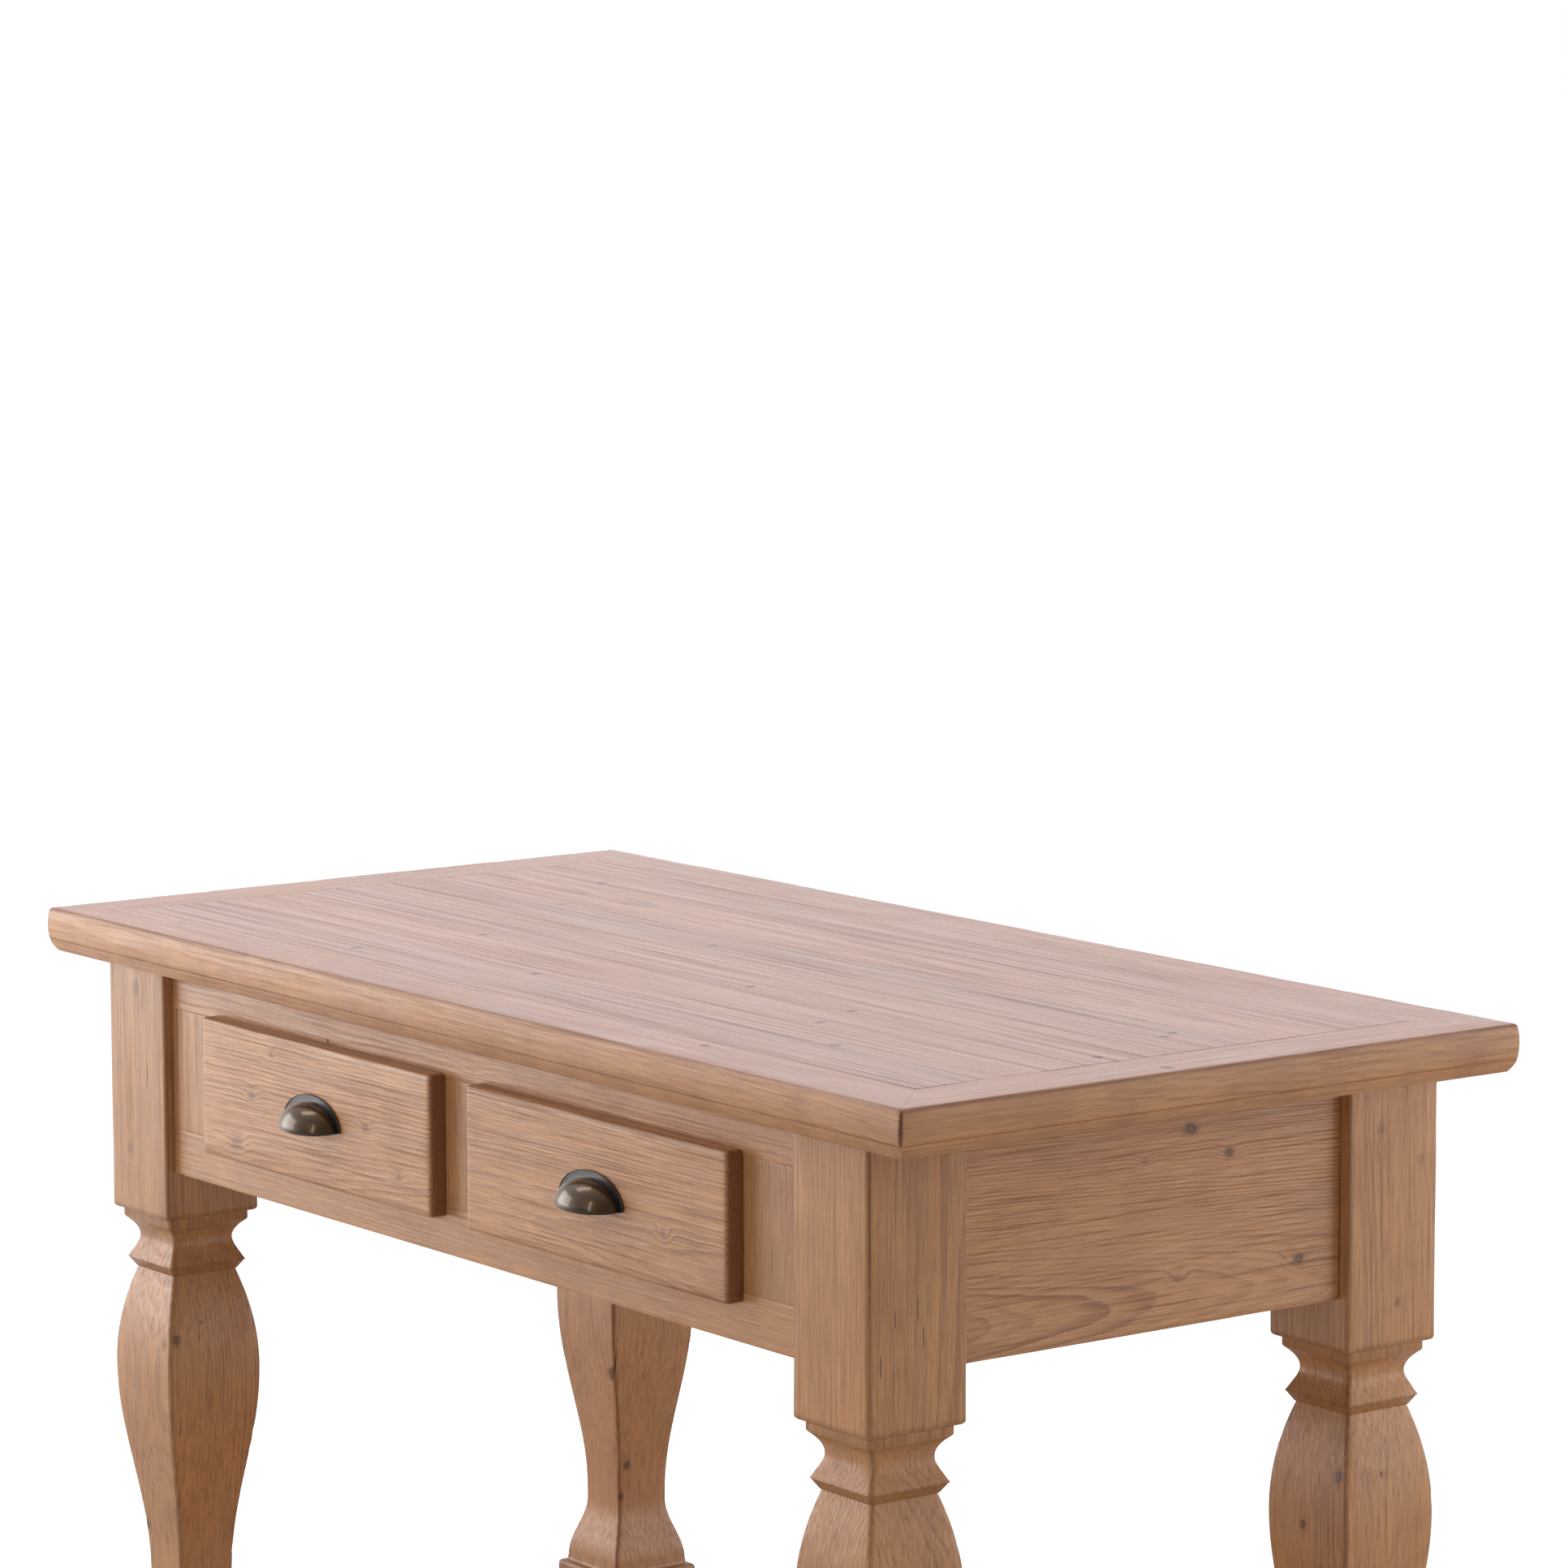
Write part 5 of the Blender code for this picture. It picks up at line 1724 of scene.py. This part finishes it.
@dataclass
class CupPull:
    """A cup pull: a hollow half dome on a flat flange that follows its arch, and two bosses for the screws.

    profile is the flange's section: shares of the way out and of the plate's thickness, with a low bead.
    """

    node: str
    finish: BrassFinish
    half_dome: Triple = (0.0435, 0.027, 0.026)
    half_flange: Pair = (0.05125, 0.0315)
    flange_corner: float = 0.004
    wall: float = 0.0018
    plate: float = 0.002
    lip_drop: float = 0.0005
    lip_droop: float = 0.003
    boss: Triple = (0.030, 0.008, 0.0038)
    boss_sides: int = 24
    bite: Pair = (0.6, 0.8)
    steps: Pair = (56, 18)
    profile: tuple[Pair, ...] = (
        (0.0, 0.0), (1.0, 0.0), (1.0, 0.65), (0.985, 0.9125), (0.96, 1.0), (0.92, 0.96), (0.88, 0.72),
        (0.80, 0.68), (0.0, 0.68),
    )

    def shell(self) -> tuple[list[Triple], Faces]:
        """The hollow dome: an outer and an inner skin joined along the lip and along the flange.

        Returns:
            Points, outward along -Y from the drawer front, and faces.
        """
        around, over = self.steps
        points: list[Triple] = []
        loop = [(0.0, self.wall * 0.5)]
        loop += [(step / over, 0.0) for step in range(1, over + 1)]
        loop += [(1.0 - step / over, self.wall) for step in range(over)]
        for column in range(1, around):
            turn = math.pi * column / around
            for share, inset in loop:
                wide, deep, tall = (size - inset for size in self.half_dome)
                lip = math.atan(self.lip_droop * deep / (self.half_dome[1] * tall))
                tilt = (math.pi / 2 + lip) * share - lip
                points.append((-wide * math.cos(turn), -deep * math.sin(turn) * math.cos(tilt),
                               tall * math.sin(turn) * math.sin(tilt)))
        return points, skin(len(loop), around - 1, inside_out=True)

    def arch(self) -> list[Pair]:
        """Draw the flange's outline, with both lower corners rounded.

        Returns:
            Its points, from one lower corner over the arch to the other.
        """
        wide, tall = self.half_flange
        corner = self.flange_corner
        start = math.asin(corner / tall)
        bend = self.steps[0] // 8
        over = self.steps[0] - 2 * bend
        turns = [start + (math.pi - 2 * start) * step / over for step in range(over + 1)]
        upper = [(-wide * math.cos(turn), tall * math.sin(turn)) for turn in turns]
        reach = -upper[0][0] - corner
        lower = []
        for step in range(bend):
            angle = math.pi / 2 * step / bend
            lower.append((-reach - corner * math.sin(angle), corner - corner * math.cos(angle)))
        return lower + upper + [(-x, z) for x, z in reversed(lower)]

    def flange(self) -> tuple[list[Triple], Faces]:
        """The flange: a flat arch with a rounded rim and a low bead beside it.

        Returns:
            Points and faces, as for the dome.
        """
        around = self.steps[0]
        inner = [self.half_dome[axis] - self.wall * self.bite[0] for axis in (0, 2)]
        points: list[Triple] = []
        for column, outer in enumerate(self.arch()):
            turn = math.pi * column / around
            start = (-inner[0] * math.cos(turn), inner[1] * math.sin(turn))
            for share, out in self.profile:
                x, rise = (a + (b - a) * share for a, b in zip(start, outer))
                points.append((x, -out * self.plate, self.lip_drop + rise))
        return points, skin(len(self.profile), around + 1)

    def bosses(self) -> tuple[list[Triple], Faces]:
        """The two bosses inside the dome, which end in its wall.

        Returns:
            Points and faces, as for the dome.
        """
        offset, height, radius = self.boss
        wide, deep, tall = self.half_dome
        sides = self.boss_sides
        points: list[Triple] = []
        faces: Faces = []
        for middle in (-offset, offset):
            faces += skin(sides, 2, len(points), inside_out=True)
            turns = [2 * math.pi * side / sides for side in range(sides)]
            ring = [(middle + radius * math.cos(turn), height + radius * math.sin(turn)) for turn in turns]
            points += [(x, -self.plate / 2, z) for x, z in ring]
            for x, z in ring:
                reach = deep * math.sqrt(1 - (x / wide) ** 2 - (z / tall) ** 2) - self.wall * self.bite[1]
                points.append((x, -reach, z))
        return points, faces

    def build(self) -> bpy.types.Object:
        """Make the pull's mesh.

        Returns:
            The dressed pull.
        """
        low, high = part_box(self.node)
        tall = self.half_dome[2]
        drooped = tall * math.sin(math.atan(self.lip_droop / tall))
        origin = Vector(((low.x + high.x) / 2, high.y, low.z + drooped))
        points: list[Vector] = []
        faces: Faces = []
        for part_points, part_faces in (self.shell(), self.flange(), self.bosses()):
            first = len(points)
            points += [origin + Vector(point) for point in part_points]
            faces += [tuple(first + index for index in face) for face in part_faces]
        return mesh_object(f"{self.node}_dressed", points, faces)

    def dress(self) -> None:
        """Build the pull, lay it over its node and finish its screws."""
        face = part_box(self.node)[1].y
        material = self.finish.material(self.node, face, self.plate, middle_of(self.node))
        present(self.build(), self.node, self.finish.slot, material)
        for hand in ("left", "right"):
            refinish(f"{self.node}_screw_{hand}", STEEL)


@dataclass
class Drawer:
    """A drawer: proud front, box and cup pull."""

    side: str
    housing: float = 0.0053
    groove: float = 0.005
    ease: float = 0.004
    ripple: float = 0.005

    def front_timber(self) -> Timber:
        """How the drawer front was sawn.

        Returns:
            Its timber, with the knots that its face shows.
        """
        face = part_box(f"drawer_{self.side}_front")[0].y
        if self.side == "left":
            knots = (Knot((-0.3099, face, 0.8012), 0.0028), Knot((-0.3472, face, 0.7559), 0.004),
                     Knot((-0.3764, face, 0.7048), 0.006), Knot((-0.1416, face, 0.7546), 0.0038),
                     Knot((-0.0834, face, 0.7169), 0.0025))
            return Timber(Grain.X, Tree.LEFT_FRONT, (0.10, -0.085), (0.05, 0.03), 0.0034, 1.04, 0.9,
                          self.ripple, knots)
        knots = (Knot((0.345, face, 0.733), 0.003),)
        return Timber(Grain.X, Tree.RIGHT_FRONT, (0.060, -0.040), (0.03, 0.02), 0.0028, 1.06, 1.15,
                      self.ripple, knots)

    def dress(self) -> None:
        """Dress the drawer's boards and its pull."""
        name = f"drawer_{self.side}"
        seed = Tree.LEFT_BOX if self.side == "left" else Tree.RIGHT_BOX
        radii = (self.ease, Arris.CRISP.radius, Arris.CRISP.radius, self.ease)
        Board(f"{name}_front", FRAME, self.front_timber(), Arris.WORN, eased=radii, end_rounding=self.ease,
              kept_sides=("high1",)).dress()
        plain, hidden = (0.0, 0.0, 0.0), (0.0, self.housing, 0.0)
        in_groove = ((self.groove, self.groove, 0.0), (self.groove, 0.0, 0.0))
        boards = (("side_left", Grain.Y, Arris.CRISP, hidden, plain),
                  ("side_right", Grain.Y, Arris.CRISP, hidden, plain),
                  ("bottom", Grain.X, Arris.JOINED, *in_groove),
                  ("back", Grain.X, Arris.CRISP, plain, plain))
        for order, (part, grain, arris, low, high) in enumerate(boards):
            node = f"{name}_{part}"
            Board(node, BOX, SAWMILL.board(grain, seed + order, node), arris, low, high).dress()
        CupPull(f"pull_{self.side}", BRASS).dress()


@dataclass
class DrawerRails:
    """Runners under the drawers and kickers over them."""

    def dress(self) -> None:
        """Finish every bar."""
        for order, place in enumerate(("left", "centre", "right")):
            runner, kicker = f"runner_{place}", f"kicker_{place}"
            refinish(runner, BOX, SAWMILL.board(Grain.Y, Tree.RUNNER + order, runner), middle_of(runner))
            Board(kicker, BOX, SAWMILL.board(Grain.Y, Tree.KICKER + order, kicker)).dress()


@dataclass
class Studio:
    """Pale floor, soft light and the camera."""

    eye: Triple = (4.5082, -3.2806, 1.7913)
    yaw: float = 53.4882
    pitch: float = 7.3582
    roll: float = -0.1454
    lens: float = 135.27
    sensor: float = 36.0
    far: float = 500.0
    sky: float = 0.38
    sheen: Pair = (0.50, 1.25)
    sheen_turn: Pair = (-0.55, 0.45)
    gleam: Pair = (0.08, 1.22)
    gleam_reach: Pair = (0.6, 2.6)
    bright_side: Triple = (-0.80, 0.30, 0.25)
    glow: Triple = (1.0, 0.942, 0.975)
    floor_half: float = 60.0
    floor_colour: Triple = (0.80, 0.80, 0.80)
    floor_roughness: float = 0.9
    floor_lift: float = 0.78
    lamps: tuple[tuple[str, Triple, Triple, Pair, float], ...] = (
        ("key", (-3.0, -1.8, 1.13), (-0.2, -0.3, 0.6), (2.0, 1.7), 47.5),
        ("front", (0.1, -4.0, 1.7), (0.1, -0.3, 0.8), (0.32, 2.8), 21.0),
        ("fill", (1.9, 3.0, 1.0), (0.6, 0.1, 0.6), (3.6, 1.8), 61.0),
        ("overhead", (-1.6, -1.1, 3.2), (0.0, 0.0, 0.9), (0.6, 1.4), 16.0),
    )

    def camera(self) -> None:
        """Place the camera."""
        data = bpy.data.cameras.new("camera")
        data.lens = self.lens
        data.sensor_width = self.sensor
        data.clip_end = self.far
        made = bpy.data.objects.new("camera", data)
        made.matrix_world = Matrix.Translation(self.eye)
        for angle, axis in ((self.yaw, "Z"), (90 - self.pitch, "X"), (self.roll, "Z")):
            made.matrix_world = made.matrix_world @ Matrix.Rotation(math.radians(angle), 4, axis)
        bpy.context.scene.collection.objects.link(made)
        bpy.context.scene.camera = made

    def seen(self, bench: NodeBench, low: Any, high: Any, kinds: Sequence[str]) -> Socket:
        """A strength that changes for some kinds of rays.

        Args:
            bench: where the nodes go.
            low: strength for other rays.
            high: strength for these rays.
            kinds: which rays these are.

        Returns:
            The strength.
        """
        path = bench.node("ShaderNodeLightPath")
        found: Any = 0.0
        for kind in kinds:
            found = bench.math("MAXIMUM", path.outputs[f"Is {kind} Ray"], found)
        made = bench.node("ShaderNodeMix", data_type="FLOAT")
        for socket, value in zip(made.inputs[:1] + made.inputs[2:4], (found, low, high)):
            bench.feed(socket, value)
        return made.outputs[0]

    def light(self) -> None:
        """Light the object from a soft sky and four wide lamps."""
        world = bpy.data.worlds.new("studio")
        world.use_nodes = True
        bpy.context.scene.world = world
        bench = NodeBench("sky", world)
        back = world.node_tree.nodes["Background"]
        glossy = bench.node("ShaderNodeLightPath").outputs["Is Glossy Ray"]
        bench.feed(back.inputs["Color"], bench.mix(glossy, (1.0, 1.0, 1.0), self.glow))
        direction = bench.node("ShaderNodeTexCoord").outputs["Generated"]
        side = bench.vector("DOT_PRODUCT", direction, self.bright_side)
        sheen = bench.fade(side, *self.sheen_turn, *self.sheen)
        strength = self.seen(bench, self.sky, sheen, ("Glossy", "Transmission"))
        bench.feed(back.inputs["Strength"], self.seen(bench, strength, 1.0, ("Camera",)))
        for name, place, target, size, power in self.lamps:
            data = bpy.data.lights.new(name, "AREA")
            data.shape = "RECTANGLE"
            data.size, data.size_y = size
            data.energy = power
            made = bpy.data.objects.new(name, data)
            made.location = place
            made.rotation_euler = (Vector(target) - Vector(place)).to_track_quat("-Z", "Y").to_euler()
            bpy.context.scene.collection.objects.link(made)

    def floor(self) -> None:
        """Lay a plain pale floor that keeps the object's shadow."""
        half = self.floor_half
        corners = [(-half, -half, 0), (half, -half, 0), (half, half, 0), (-half, half, 0)]
        made = mesh_object("floor", corners, [(0, 1, 2, 3)])
        bench = NodeBench("floor")
        inputs = bench.shader.inputs
        inputs["Base Color"].default_value = (*self.floor_colour, 1.0)
        inputs["Roughness"].default_value = self.floor_roughness
        inputs["Specular IOR Level"].default_value = 0.0
        inputs["Emission Color"].default_value = (1.0, 1.0, 1.0, 1.0)
        place = bench.node("ShaderNodeTexCoord").outputs["Object"]
        side = bench.vector("DOT_PRODUCT", place, self.bright_side)
        gleam = bench.fade(side, *self.gleam_reach, *self.gleam)
        lift = self.seen(bench, 0.0, gleam, ("Glossy",))
        lift = self.seen(bench, lift, self.floor_lift, ("Camera", "Transmission"))
        bench.feed(inputs["Emission Strength"], lift)
        made.data.materials.append(bench.material)

    def build(self) -> None:
        """Set up the whole studio."""
        self.camera()
        self.light()
        self.floor()
        bpy.context.scene.view_settings.view_transform = "Standard"


def main() -> None:
    """Dress the island, piece by piece."""
    logging.basicConfig(level=logging.INFO, format="%(name)s: %(message)s")
    Studio().build()
    Worktop().dress()
    Legs().dress()
    FaceFrame().dress()
    Shelf().dress()
    for side in ("left", "right"):
        Drawer(side).dress()
    DrawerRails().dress()


if __name__ == "__main__":
    main()
